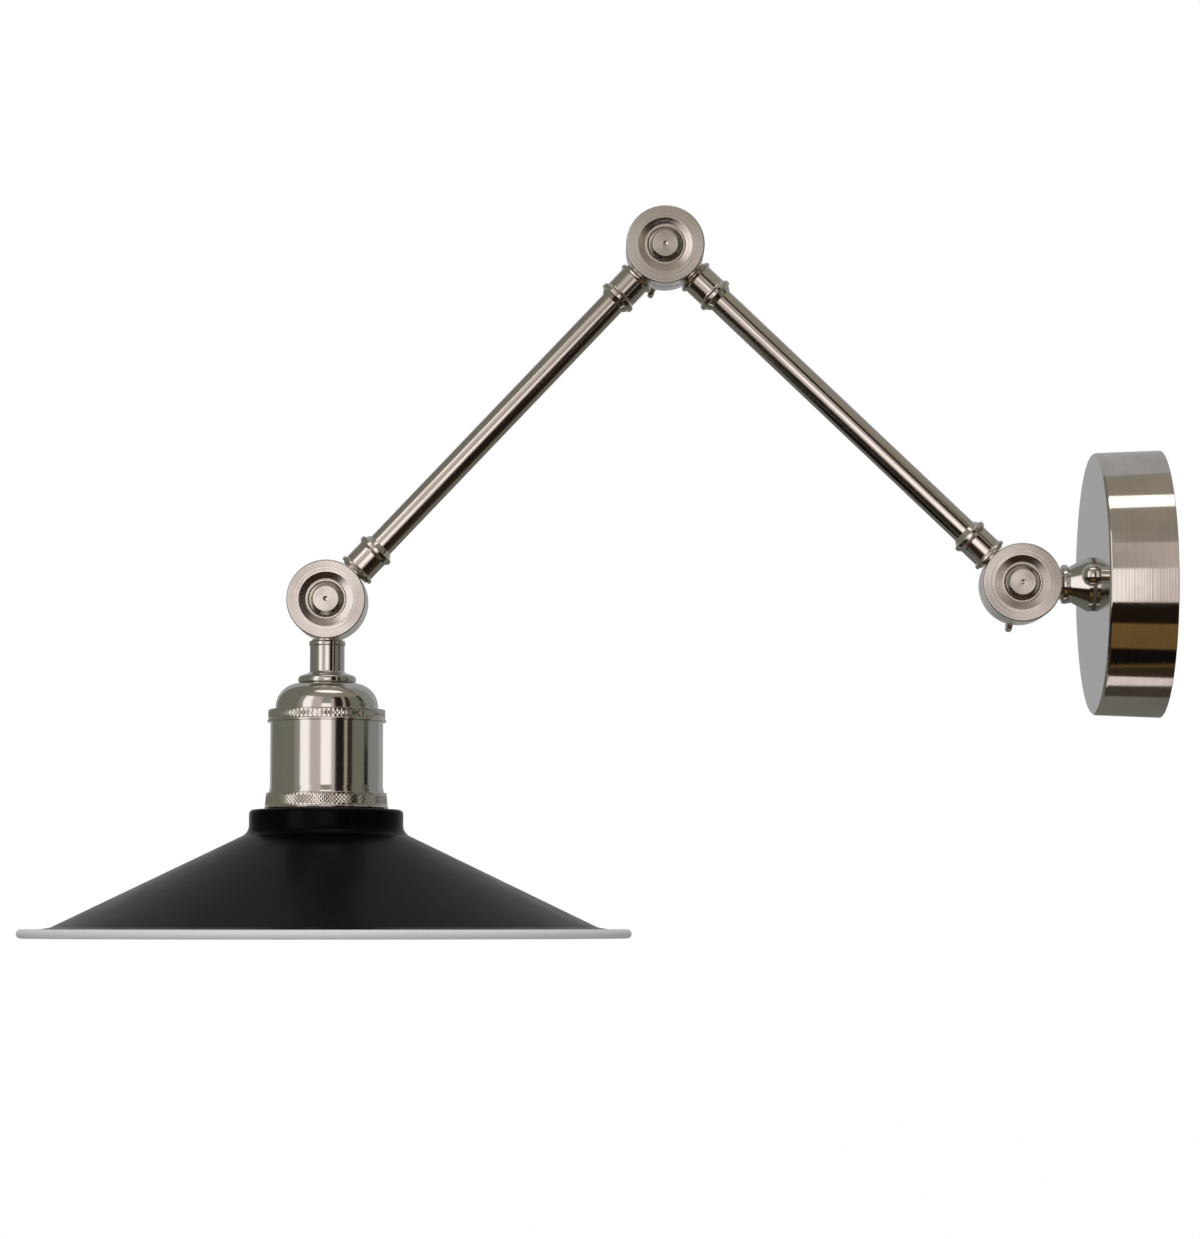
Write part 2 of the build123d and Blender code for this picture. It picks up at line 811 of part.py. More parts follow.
def make_lower_ring():
    """Ring nut on the collar, recessed for the shell's foot."""
    recess = shell_flare_radius + screw_clearance
    bore = shell_collar_radius + screw_clearance
    corners = [
        (recess, lower_ring_top),
        (lower_ring_radius, lower_ring_top),
        (lower_ring_foot_radius, lower_ring_foot),
        (bore, lower_ring_foot),
        (bore, shell_foot),
        (recess, shell_foot),
    ]
    return turned(corners, [(1, ring_edge), (2, ring_edge)])


def make_shade_washer():
    """Thin washer on the shade's top."""
    outer = collar_hole_radius + shade_washer_width
    return ring(collar_hole_radius, outer, lower_ring_foot, shade_top)


def make_shade():
    """Spun shade: short neck, shallow cone and flat flange with a rolled edge."""
    neck_foot = shade_top + shade_neck_height
    cone_foot = neck_foot + shade_cone_height
    outer_line = [
        (collar_hole_radius, shade_top),
        (shade_neck_radius, shade_top),
        (shade_neck_radius, neck_foot),
        (shade_cone_radius, cone_foot),
        (shade_cone_radius + shade_flange_width, cone_foot + shade_flange_drop),
    ]
    bends = [(1, shade_neck_edge), (2, shade_neck_fillet), (3, shade_flange_bend)]
    spun = sheet(outer_line, shade_wall, bends)
    roll = Pos(outer_line[-1][0], outer_line[-1][1] + shade_wall / 2) * Circle(shade_rim_roll)
    return spun + revolve(roll, Axis.Y)


def make_clamp_ring():
    """Notched ring nut that clamps the shade from inside."""
    bore = shell_collar_radius + screw_clearance
    outer = bore + clamp_ring_width
    nut = ring(bore, outer, clamp_ring_top, clamp_ring_top + clamp_ring_height)
    for angle in range(0, 360, clamp_ring_notch_step):
        notch = Pos(X=outer) * Box(2 * clamp_ring_notch_depth, clamp_ring_height, clamp_ring_notch)
        nut -= Rot(Y=angle) * Pos(Y=clamp_ring_top + clamp_ring_height / 2) * notch
    return nut


def make_socket_core():
    """Insulating core: terminal chamber above, lamp cavity below, seated on the shell's web."""
    chamber = core_outer_radius - core_wall
    web = shell_foot - shell_web
    core = turned(
        [
            (0, core_floor_top),
            (chamber, core_floor_top),
            (chamber, shell_top),
            (core_outer_radius, shell_top),
            (core_outer_radius, web),
            (core_neck_radius, web),
            (core_neck_radius, core_mouth),
            (core_cavity_radius, core_mouth),
            (core_cavity_radius, core_floor_foot),
            (0, core_floor_foot),
        ]
    )
    for offset in (-contact_rivet_offset, shell_rivet_offset):
        core -= rivet_hole(offset, core_floor_top, core_floor_foot)
    return core


def make_screw_shell():
    """Drawn screw shell: web on the core's floor, plain foot, then the thread as a plain bore."""
    outer = screw_shell_radius + screw_shell_wall
    foot_inner = screw_shell_radius + screw_shell_foot_swell
    foot_outer = foot_inner + screw_shell_wall
    web = core_floor_foot + screw_shell_wall
    end = core_floor_foot + screw_shell_length
    shell = turned(
        [
            (screw_shell_web_hole, core_floor_foot),
            (foot_outer, core_floor_foot),
            (foot_outer, thread_start + screw_shell_wall),
            (outer, thread_start + screw_shell_wall),
            (outer, end),
            (screw_shell_radius, end),
            (screw_shell_radius, thread_start),
            (foot_inner, thread_start),
            (foot_inner, web),
            (screw_shell_web_hole, web),
        ]
    )
    return shell - rivet_hole(shell_rivet_offset, core_floor_foot, web)


def make_centre_contact():
    """Bent spring strip on the core's floor."""
    base = core_floor_foot
    step = contact_half_length / 2
    rise = contact_rise
    outer_line = [
        (-contact_half_length, base),
        (-step, base),
        (-step / 2, base + rise),
        (step / 2, base + rise),
        (step, base),
        (contact_half_length, base),
    ]
    lower_line = [(x, y + contact_thickness) for x, y in outer_line]
    strip = make_face(Polyline(*outer_line, *lower_line[::-1], close=True))
    strip = extrude(strip, contact_width / 2, both=True)
    return strip - rivet_hole(-contact_rivet_offset, base, base + contact_thickness)


def rivet_hole(offset, start, end):
    """Hole for a rivet beside the holder's axis."""
    return Pos(X=offset) * rod(rivet_radius + screw_clearance, start, end)


def opposite_pair(piece):
    """The piece and its copy turned half round the holder's axis."""
    return Compound(children=[piece, Rot(Y=180) * piece])


def make_terminal_posts():
    """Brass blocks on the chamber's floor, each with a lead hole and a screw hole."""
    middle = core_floor_top - post_height / 2
    post = Pos(X=post_offset, Y=middle) * Box(2 * post_width, post_height, post_width)
    lead_hole = rod(lead_radius + screw_clearance, core_floor_top - post_height, lead_s_foot)
    post -= Pos(X=post_offset - post_screw_offset) * lead_hole
    hole = rod(terminal_screw_radius + screw_clearance, core_floor_top - post_height, terminal_screw_end)
    posts = opposite_pair(post - Pos(X=post_offset + post_screw_offset) * hole)
    for offset in (-contact_rivet_offset, shell_rivet_offset):
        posts -= rivet_hole(offset, core_floor_top - rivet_depth_in_post, core_floor_top)
    return posts


def make_contact_rivets():
    """Rivets that join the centre contact and the screw shell to the posts."""
    rivets = []
    for offset, wall in (
        (-contact_rivet_offset, contact_thickness),
        (shell_rivet_offset, screw_shell_wall),
    ):
        head = core_floor_foot + wall
        rivet = rod(rivet_radius, core_floor_top - rivet_depth_in_post, head)
        rivet += rod(rivet_head_radius, head, head + rivet_head_height)
        rivets.append(Pos(X=offset) * rivet)
    return Compound(children=rivets)


def make_terminal_screws():
    """Slotted screws in the terminal posts."""
    head_foot = core_floor_top - post_height
    head_top = head_foot - terminal_head_height
    screw = rod(terminal_head_radius, head_top, head_foot)
    screw += rod(terminal_screw_radius, head_foot, terminal_screw_end)
    groove = Box(2 * terminal_head_radius, screw_slot_depth, screw_slot_width)
    screw -= Pos(Y=head_top) * groove
    return opposite_pair(Pos(X=post_offset + post_screw_offset) * screw)


lead_s_foot = core_floor_top - post_height / 2
terminal_screw_end = core_floor_top - post_height + terminal_screw_length


def make_socket_leads():
    """Two leads from the neck to the terminal posts."""
    near = lead_offset
    far = post_offset - post_screw_offset
    points = [(near, nipple_top), (near, lead_s_start), (far, lead_s_end), (far, lead_s_foot)]
    return opposite_pair(lead(points, (lead_s_bend, lead_s_bend)))


# ---------------------------------------------------------------- the assembly
parts["canopy"] = make_canopy()
parts["wall_bracket"] = make_wall_bracket()
parts["canopy_studs"] = make_canopy_studs()
parts["stud_lock_nuts"] = make_stud_lock_nuts()
parts["ball_nuts"] = make_ball_nuts()
parts["earth_screw"] = make_earth_screw()
parts["supply_leads"] = make_supply_leads()
parts["wire_connectors"] = make_wire_connectors()
parts["seat_washer"] = make_seat_washer()
parts["backing_washer"] = make_backing_washer()

parts["swivel_cone"] = make_swivel_cone()
parts["swivel_nipple"] = make_swivel_nipple()
parts["swivel_glide_washer"] = make_glide_washer()
parts["swivel_stop_washer"] = make_stop_washer()
parts["swivel_spring_washer"] = make_swivel_spring_washer()
parts["swivel_nuts"] = make_swivel_nuts()

pivot_bolt = make_pivot_bolt()
friction_ring = make_friction_ring()
flat_washer = make_flat_washer()
spring_washer = make_spring_washer()
ferrule = make_ferrule()
tube = make_tube()
arm_leads = make_arm_leads()

front_half = knuckle_half(front_seat, to_front, True)
rear_half = knuckle_half(rear_seat, to_rear, False)

for name, place, front_angle, rear_angle, wing_angle in (
    ("wall", at_wall_pivot, 0, inner_arm_angle, wall_wing_angle),
    ("elbow", at_elbow_pivot, outer_arm_angle, inner_arm_angle + 180, elbow_wing_angle),
    ("shade", at_shade_pivot, outer_arm_angle + 180, holder_angle, shade_wing_angle),
):
    parts[f"{name}_knuckle_front"] = place * Rot(X=front_angle) * front_half
    parts[f"{name}_knuckle_rear"] = place * Rot(X=rear_angle) * rear_half
    parts[f"{name}_pivot_bolt"] = place * Rot(X=front_angle) * pivot_bolt
    parts[f"{name}_friction_ring"] = place * friction_ring
    parts[f"{name}_wing_nut"] = place * make_wing_nut(wing_angle)

parts["inner_arm_flat_washers"] = Compound(children=[at_wall_pivot * flat_washer, at_elbow_pivot * flat_washer])
parts["inner_arm_spring_washers"] = Compound(
    children=[at_wall_pivot * spring_washer, at_elbow_pivot * spring_washer]
)
parts["holder_flat_washer"] = at_shade_pivot * flat_washer
parts["holder_spring_washer"] = at_shade_pivot * spring_washer

for name, place, angle in (
    ("inner_arm", at_wall_pivot, inner_arm_angle),
    ("outer_arm", at_elbow_pivot, outer_arm_angle),
):
    along = place * Rot(X=angle)
    parts[f"{name}_near_ferrule"] = along * ferrule
    parts[f"{name}_tube"] = along * tube
    parts[f"{name}_far_ferrule"] = along * Pos(Y=arm_length) * Rot(X=180) * ferrule
    parts[f"{name}_leads"] = along * arm_leads

down = at_shade_pivot * Rot(X=holder_angle)
parts["holder_neck"] = down * make_holder_neck()
parts["holder_nipple"] = down * make_holder_nipple()
parts["holder_nut"] = down * make_holder_nut()
parts["socket_cap"] = down * make_socket_cap()
parts["upper_knurled_ring"] = down * make_upper_ring()
parts["socket_shell"] = down * make_socket_shell()
parts["lower_knurled_ring"] = down * make_lower_ring()
parts["shade_washer"] = down * make_shade_washer()
parts["shade"] = down * make_shade()
parts["shade_clamp_ring"] = down * make_clamp_ring()
parts["socket_core"] = down * make_socket_core()
parts["screw_shell"] = down * make_screw_shell()
parts["centre_contact"] = down * make_centre_contact()
parts["contact_rivets"] = down * make_contact_rivets()
parts["terminal_posts"] = down * make_terminal_posts()
parts["terminal_screws"] = down * make_terminal_screws()
parts["socket_leads"] = down * make_socket_leads()

os.makedirs("parts", exist_ok=True)
for name, shape in parts.items():
    export_step(shape, f"parts/{name}.step")

for label, point in (("wall pivot", wall_pivot), ("elbow pivot", elbow_pivot), ("shade pivot", shade_pivot)):
    print(f"{label} {point.Y:.3f} {point.Z:.3f}")
print(f"{len(parts)} parts")
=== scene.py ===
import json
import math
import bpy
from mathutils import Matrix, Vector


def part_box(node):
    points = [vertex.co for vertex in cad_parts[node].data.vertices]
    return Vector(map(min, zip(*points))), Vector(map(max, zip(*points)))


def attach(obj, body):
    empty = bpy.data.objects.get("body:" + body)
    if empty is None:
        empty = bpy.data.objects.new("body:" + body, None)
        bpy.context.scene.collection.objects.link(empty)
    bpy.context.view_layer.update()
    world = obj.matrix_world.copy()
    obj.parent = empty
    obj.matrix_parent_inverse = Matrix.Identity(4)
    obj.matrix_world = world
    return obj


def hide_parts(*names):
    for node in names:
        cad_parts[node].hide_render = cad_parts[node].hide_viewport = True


bl_info = {
    "name": "Articulating wall lamp",
    "version": (1, 0, 0),
    "blender": (4, 5, 0),
    "location": "3D View > Sidebar > Wall lamp",
    "description": "Dresses the packed frame of a nickel wall lamp with its finishes, and sets its studio",
    "category": "Object",
}

import bmesh
import bpy
from bpy.props import FloatProperty, FloatVectorProperty, IntProperty, PointerProperty
from mathutils import Matrix, Vector

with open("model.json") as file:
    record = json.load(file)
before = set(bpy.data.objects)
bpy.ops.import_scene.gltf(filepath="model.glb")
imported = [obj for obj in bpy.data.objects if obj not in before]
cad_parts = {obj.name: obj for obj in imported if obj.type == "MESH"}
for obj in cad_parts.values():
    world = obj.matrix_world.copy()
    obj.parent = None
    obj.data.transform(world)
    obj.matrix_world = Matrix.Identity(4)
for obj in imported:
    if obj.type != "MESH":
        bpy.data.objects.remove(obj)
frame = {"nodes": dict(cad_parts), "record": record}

MM = 0.001
TO_FRONT = Matrix.Rotation(math.radians(90), 4, "Y")
TO_REAR = Matrix.Rotation(math.radians(-90), 4, "Y")
ON_AXIS = 1e-7
BOLT_HOLE = 3.0 * MM
NIPPLE_HOLE = 5.05 * MM
LEAD_BORE = 4.7 * MM
RING_GAP = 0.02 * MM
SHELL_SEAT = 3.1 * MM
DULLING = 0.12
POLISHED = ("polished_nickel",)


# ---------- what the frame says
def low(node):
    """Lowest corner of a node in the frame."""
    return Vector(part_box(node)[0])


def high(node):
    """Highest corner of a node in the frame."""
    return Vector(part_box(node)[1])


def middle(node):
    """Centre of a node's box in the frame."""
    return (low(node) + high(node)) / 2


def span(node):
    """Size of a node's box in the frame."""
    return high(node) - low(node)


WALL_PIVOT = middle("wall_friction_ring")
ELBOW_PIVOT = middle("elbow_friction_ring")
SHADE_PIVOT = middle("shade_friction_ring")
INNER_ARM = (ELBOW_PIVOT - WALL_PIVOT).normalized()
OUTER_ARM = (SHADE_PIVOT - ELBOW_PIVOT).normalized()
TOWARDS_WALL = Vector((0, 1, 0))
DOWN = Vector((0, 0, -1))
CANOPY_RADIUS = span("canopy").x / 2
STUB_FACE = SHADE_PIVOT.z - high("holder_neck").z


def drop_top(node):
    """How far a lampholder node's top lies below the shade pivot."""
    return SHADE_PIVOT.z - high(node).z


def drop_foot(node):
    """How far a lampholder node's foot lies below the shade pivot."""
    return SHADE_PIVOT.z - low(node).z


# ---------- sizes and colours a user would change
def measured(label, about, value):
    """Property for a length given in metres."""
    return FloatProperty(name=label, description=about, default=value, min=0.0, unit="LENGTH", precision=5)


def length(label, about, millimetres):
    """Property for a length given in millimetres."""
    return measured(label, about, millimetres * MM)


def colour(label, about, value):
    """Property for a linear colour."""
    return FloatVectorProperty(name=label, description=about, default=value, size=3, min=0.0, subtype="COLOR")


def share(label, about, value):
    """Property for a number from 0 to 1."""
    return FloatProperty(name=label, description=about, default=value, min=0.0, max=1.0, subtype="FACTOR")


def power(label, about, value):
    """Property for a light's power."""
    return FloatProperty(name=label, description=about, default=value, min=0.0, unit="POWER")


class CanopySizes(bpy.types.PropertyGroup):
    """Sizes of the canopy and its ball nuts"""

    back_radius: measured("Back radius", "Radius of the canopy at the wall", CANOPY_RADIUS)
    front_radius: measured("Front radius", "Radius of the canopy at its face", CANOPY_RADIUS - 1.1 * MM)
    depth: measured("Depth", "Height of the canopy's face above the wall", span("canopy").y)
    wall: length("Wall", "Thickness of the drawn sheet", 1.2)
    edge: length("Edge rounding", "Rounding of the canopy's front edge", 1.6)
    ball_radius: length("Ball radius", "Radius of a ball nut's head", 4.5)
    skirt_radius: length("Skirt radius", "Radius of a ball nut's foot", 3.25)
    bore_radius: length("Bore", "Radius of the hole for the swivel", 5.05)


class SwivelSizes(bpy.types.PropertyGroup):
    """Sizes of the swivel cone"""

    base_radius: measured("Base radius", "Radius of the cone at the canopy", span("swivel_cone").x / 2)
    band: length("Band", "Height of the straight band at the cone's base", 1.6)
    tip_radius: length("Tip radius", "Radius of the cone at its bead", 6.95)
    bead_radius: length("Bead radius", "Radius of the bead at the cone's small end", 8.2)
    bead_width: length("Bead width", "Width of the bead at the cone's small end", 2.9)


class KnuckleSizes(bpy.types.PropertyGroup):
    """Sizes of a knuckle half and its pivot bolt"""

    radius: measured("Radius", "Outer radius of a knuckle", span("wall_knuckle_front").z / 2)
    seat: length("Seat", "Distance of the front half from the arms' plane", 0.25)
    half_thickness: length("Half thickness", "Thickness of one cast half", 10.0)
    chamfer: length("Edge", "Rounding of a face's outer edge", 0.6)
    dish_radius: length("Dish radius", "Outer radius of the dished ring", 11.4)
    dish_depth: length("Dish depth", "Depth of the dished ring", 1.1)
    lip_radius: length("Lip radius", "Outer radius of the lip round the pocket", 8.3)
    lip_width: length("Lip width", "Width of the lip round the pocket", 0.8)
    lip_height: length("Lip height", "Height of the lip above the dish", 0.4)
    pocket_depth: length("Pocket depth", "Depth of the pocket for the bolt's head", 2.6)
    shoulder_radius: length("Shoulder radius", "Radius of the stub that holds a ferrule", 6.4)
    bolt_radius: length("Bolt radius", "Radius of the pivot bolt's shank", 3.0)
    head_radius: length("Head radius", "Radius of the pivot bolt's head", 5.3)
    head_height: length("Head height", "Height of the pivot bolt's head", 3.9)
    head_edge: length("Head edge", "Rounding of the pivot bolt's head", 0.35)
    flank_radius: length("Flank radius", "Radius of the head where it meets the pocket", 7.2)
    flank_height: length("Flank height", "Fall of the head's rounded flank", 1.9)
    dimple_radius: length("Dimple radius", "Radius of the turning centre in the head", 1.1)


class WingNutSizes(bpy.types.PropertyGroup):
    """Sizes of a wing nut"""

    hub_radius: length("Hub radius", "Radius of the hub's foot", 6.2)
    hub_top_radius: length("Hub top radius", "Radius of the hub's top", 5.2)
    hub_height: length("Hub height", "Height of the hub", 7.5)
    wing_span: length("Wing span", "Distance of a wing's tip from the bolt", 18.5)
    wing_height: length("Wing height", "Height of a wing's tip above the nut's foot", 15.3)
    tip_radius: length("Tip radius", "Rounding of a wing's outer corner", 3.8)
    thickness: length("Thickness", "Thickness of a wing at its root", 3.0)


class ArmSizes(bpy.types.PropertyGroup):
    """Sizes of the tubes and ferrules of the arms"""

    tube_radius: length("Tube radius", "Outer radius of the tube", 5.4)
    ferrule_radius: length("Ferrule radius", "Radius of a ferrule between its beads", 6.9)
    ferrule_length: length("Ferrule length", "Length of a ferrule over its two beads", 13.3)
    bead_radius: length("Bead radius", "Radius of a ferrule's beads", 8.0)
    bead_width: length("Bead width", "Width of a ferrule's bead", 1.8)
    flare_length: length("Flare length", "Length of the taper onto the tube", 2.0)


class HolderSizes(bpy.types.PropertyGroup):
    """Sizes of the lampholder"""

    neck_radius: length("Neck radius", "Radius of the neck's barrel", 7.25)
    neck_bead_radius: length("Neck bead radius", "Radius of the bead at the neck's top", 7.6)
    neck_bead_width: length("Neck bead width", "Width of the bead at the neck's top", 1.8)
    collar_radius: length("Collar radius", "Radius of the collar at the neck's foot", 12.1)
    collar_width: length("Collar width", "Height of the collar at the neck's foot", 4.1)
    cap_radius: length("Cap radius", "Radius of the domed cap", 21.4)
    crown_radius: length("Crown radius", "Rounding of the cap's crown", 10.0)
    cap_wall: length("Cap wall", "Thickness of the cap", 1.2)
    knurl_pitch: length("Knurl pitch", "Width of one diamond of the knurling", 1.6)
    knurl_depth: length("Knurl depth", "Depth of the knurling", 0.2)
    ring_edge: length("Ring edge", "Height of the plain edges of a knurled ring", 0.7)
    ring_rise: length("Ring rise", "Height of the upper ring's lip over the cap's foot", 0.8)
    shell_radius: length("Shell radius", "Radius of the shell between the rings", 23.5)
    shell_wall: length("Shell wall", "Thickness of the shell", 1.3)
    flare_radius: length("Flare radius", "Radius of the shell at the lower ring", 23.9)
    flare_length: length("Flare length", "Height of the shell's flare", 2.6)
    collar_tube_radius: length("Collar tube radius", "Radius of the shell's collar through the shade", 19.8)
    screw_radius: length("Screw shell radius", "Inner radius of the lamp's screw shell", 13.3)
    thread_pitch: length("Thread pitch", "Pitch of the lamp's screw thread", 3.63)
    thread_depth: length("Thread depth", "Depth of the rolled thread", 0.55)


class ShadeSizes(bpy.types.PropertyGroup):
    """Sizes of the spun shade"""

    wall: length("Wall", "Thickness of the spun sheet", 0.8)
    hole_radius: length("Hole radius", "Radius of the hole for the shell's collar", 20.2)
    neck_radius: length("Neck radius", "Radius of the shade's neck", 32.1)
    neck_edge: length("Neck edge", "Rounding of the neck's top edge", 1.8)
    neck_fillet: length("Neck fillet", "Bend from the neck into the cone", 5.0)
    neck_height: length("Neck height", "Height of the neck", 9.6)
    cone_radius: length("Cone radius", "Radius of the cone at its foot", 113.2)
    flange_width: length("Flange width", "Width of the flange round the cone", 12.2)
    flange_drop: length("Flange drop", "Fall of the flange to its edge", 2.3)
    flange_bend: length("Flange bend", "Bend from the cone into the flange", 3.0)
    roll: length("Rolled edge", "Radius of the rolled edge", 1.9)


class Finishes(bpy.types.PropertyGroup):
    """Colours and gloss of the lamp's finishes"""

    nickel: colour("Nickel", "Colour of the nickel plate", (0.70, 0.665, 0.61))
    polish: share("Polish roughness", "Roughness of the polished nickel", 0.11)
    satin: share("Satin roughness", "Roughness of the turned satin nickel", 0.2)
    black_enamel: colour("Black enamel", "Colour of the shade's outside", (0.0015, 0.0016, 0.002))
    white_enamel: colour("White enamel", "Colour of the shade's inside and rim", (0.66, 0.665, 0.69))
    steel: colour("Zinc-plated steel", "Colour of the hidden hardware", (0.56, 0.57, 0.58))
    brass: colour("Brass", "Colour of the contacts", (0.80, 0.60, 0.30))
    porcelain: colour("Porcelain", "Colour of the insulating core", (0.82, 0.80, 0.74))
    fibre: colour("Fibre", "Colour of the seat and friction washers", (0.035, 0.028, 0.024))
    nylon: colour("Nylon", "Colour of the glide washer", (0.75, 0.74, 0.68))
    insulation: colour("Insulation", "Colour of the leads", (0.02, 0.02, 0.022))
    connector: colour("Connector", "Colour of the twist-on connectors", (0.72, 0.20, 0.03))
    green_screw: colour("Earth screw", "Colour of the earth screw", (0.03, 0.22, 0.06))


class StageSettings(bpy.types.PropertyGroup):
    """Studio round the lamp"""

    floor_level: FloatProperty(
        name="Floor level", description="Height of the floor", default=-2.2, unit="LENGTH", precision=3
    )
    key_power: power("Key light", "Power of the light above the lamp", 14.0)
    front_power: power("Front light", "Power of the light by the camera", 16.0)
    fill: FloatProperty(name="Fill", description="Level of the even light all round", default=0.5, min=0.0)
    around: IntProperty(name="Divisions", description="Divisions of a turned piece", default=160, min=16)


class LampSettings(bpy.types.PropertyGroup):
    """All sizes and finishes of the wall lamp"""

    canopy: PointerProperty(type=CanopySizes)
    swivel: PointerProperty(type=SwivelSizes)
    knuckle: PointerProperty(type=KnuckleSizes)
    wing_nut: PointerProperty(type=WingNutSizes)
    arm: PointerProperty(type=ArmSizes)
    holder: PointerProperty(type=HolderSizes)
    shade: PointerProperty(type=ShadeSizes)
    finish: PointerProperty(type=Finishes)
    stage: PointerProperty(type=StageSettings)


# ---------- shapes
def rounded(corners, closed=False, steps=5):
    """Outline of (radius, height) corners; a third number rounds the corner."""
    line = []
    count = len(corners)
    for number, corner in enumerate(corners):
        here = Vector(corner[:2])
        if len(corner) == 2 or (not closed and number in (0, count - 1)):
            line.append(here)
            continue
        before = (Vector(corners[number - 1][:2]) - here).normalized()
        after = (Vector(corners[(number + 1) % count][:2]) - here).normalized()
        half = before.angle(after) / 2
        centre = here + (before + after).normalized() * (corner[2] / math.sin(half))
        start = here + before * (corner[2] / math.tan(half)) - centre
        end = here + after * (corner[2] / math.tan(half)) - centre
        turn = start.angle_signed(end)
        for step in range(steps + 1):
            angle = -turn * step / steps
            c, s = math.cos(angle), math.sin(angle)
            line.append(centre + Vector((c * start.x - s * start.y, s * start.x + c * start.y)))
    return line


def arc(centre, radius, start, end, steps):
    """Points of an arc in (radius, height), angles in degrees."""
    line = []
    for step in range(steps + 1):
        angle = math.radians(start + (end - start) * step / steps)
        line.append(Vector((centre[0] + radius * math.cos(angle), centre[1] + radius * math.sin(angle))))
    return line


class Form:
    """Points and faces of one piece, gathered from its turned and cut shapes"""

    def __init__(self):
        self.points = []
        self.faces = []
        self.finishes = []

    def add(self, points, faces, place=Matrix(), finish=0):
        """Adds a shape at its place."""
        first = len(self.points)
        self.points += [place @ Vector(point) for point in points]
        self.faces += [[first + number for number in face] for face in faces]
        self.finishes += [finish] * len(faces)

    def loft(self, rings, closed=False, place=Matrix(), finishes=None):
        """Adds the skin over rings of points. finishes names the finish of each stretch between rings."""
        around = max(len(ring) for ring in rings)
        rows = []
        for ring in rings:
            start = len(self.points)
            rows.append([start + (number if len(ring) > 1 else 0) for number in range(around)])
            self.points += [place @ Vector(point) for point in ring]
        for stretch in range(len(rows) if closed else len(rows) - 1):
            near, far = rows[stretch], rows[(stretch + 1) % len(rows)]
            for number in range(around):
                after = (number + 1) % around
                face = list(dict.fromkeys((near[number], near[after], far[after], far[number])))
                if len(face) > 2:
                    self.faces.append(face)
                    self.finishes.append(finishes[stretch] if finishes else 0)

    def turn(self, outline, closed=False, place=Matrix(), finishes=None, around=None):
        """Adds an outline turned about local Z."""
        around = around or bpy.context.scene.wall_lamp.stage.around
        angles = [2 * math.pi * number / around for number in range(around)]
        rings = []
        for radius, height in outline:
            ring = [(radius * math.cos(angle), radius * math.sin(angle), height) for angle in angles]
            rings.append([(0, 0, height)] if radius < ON_AXIS else ring)
        self.loft(rings, closed, place, finishes)

    def fit(self, name, body, node, place, finishes=POLISHED, slot="polished_nickel", smooth=40.0):
        """Makes the object at its place. It rides its body in place of its node."""
        mesh = bpy.data.meshes.new(name)
        mesh.from_pydata(self.points, [], self.faces)
        mesh.polygons.foreach_set("material_index", self.finishes)
        for title in finishes:
            mesh.materials.append(finish(title))
        work = bmesh.new()
        work.from_mesh(mesh)
        bmesh.ops.recalc_face_normals(work, faces=work.faces)
        work.to_mesh(mesh)
        work.free()
        mesh.polygons.foreach_set("use_smooth", [True] * len(mesh.polygons))
        mesh.set_sharp_from_angle(angle=math.radians(smooth))
        piece = bpy.data.objects.new(name, mesh)
        bpy.context.scene.collection.objects.link(piece)
        piece.matrix_world = place
        weighted = piece.modifiers.new("Even shading", "WEIGHTED_NORMAL")
        weighted.keep_sharp = True
        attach(piece, body)
        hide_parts(node)
        return piece


def turned(name, body, node, place, corners, closed=True, steps=5, around=None, **looks):
    """A piece that is a single turned shape."""
    form = Form()
    form.turn(rounded(corners, closed, steps), closed, around=around)
    form.fit(name, body, node, place, **looks)


def standing(origin, along):
    """Place whose local Z points along the given direction."""
    return Matrix.Translation(origin) @ Vector((0, 0, 1)).rotation_difference(along).to_matrix().to_4x4()


def extruded(outline, root_thickness, edge_thickness):
    """Points and faces of a flat shape in local XZ that thins towards +X."""
    reach = max(point.x for point in outline)
    root = min(point.x for point in outline)
    points = []
    for side in (-1, 1):
        for point in outline:
            part = (point.x - root) / (reach - root)
            thick = root_thickness + (edge_thickness - root_thickness) * part
            points.append((point.x, side * thick / 2, point.y))
    count = len(outline)
    faces = [list(range(count)), list(range(2 * count - 1, count - 1, -1))]
    for number in range(count):
        after = (number + 1) % count
        faces.append([number, count + number, count + after, after])
    return points, faces


def knurling(radius_top, radius_foot, top, foot, pitch, depth):
    """Points and faces of a band of diamonds about local Z."""
    columns = 2 * round(math.pi * (radius_top + radius_foot) / pitch)
    rows = 2 * max(2, round(abs(foot - top) / pitch))
    points = []
    for row in range(rows + 1):
        part = row / rows
        outer = radius_top + (radius_foot - radius_top) * part
        for column in range(columns):
            raised = (row + column) % 2 and 0 < row < rows
            radius = outer - (0 if raised else depth)
            angle = 2 * math.pi * column / columns
            points.append((radius * math.cos(angle), radius * math.sin(angle), top + (foot - top) * part))
    faces = []
    for row in range(rows):
        for column in range(columns):
            after = (column + 1) % columns
            a, b = row * columns + column, row * columns + after
            c, d = (row + 1) * columns + after, (row + 1) * columns + column
            if (row + column) % 2:
                faces += [[a, b, d], [b, c, d]]
            else:
                faces += [[a, b, c], [a, c, d]]
    return points, faces


# ---------- shader nodes and shared effects
def feed(tree, node, inputs):
    """Sets a node's inputs to values or to other nodes' outputs."""
    for key, value in inputs.items():
        if isinstance(value, bpy.types.NodeSocket):
            tree.links.new(value, node.inputs[key])
        else:
            node.inputs[key].default_value = value
    return node


def link(tree, kind, inputs=None, **settings):
    """Adds a shader node with its settings and inputs."""
    node = tree.nodes.new(kind)
    for key, value in settings.items():
        setattr(node, key, value)
    return feed(tree, node, inputs or {})


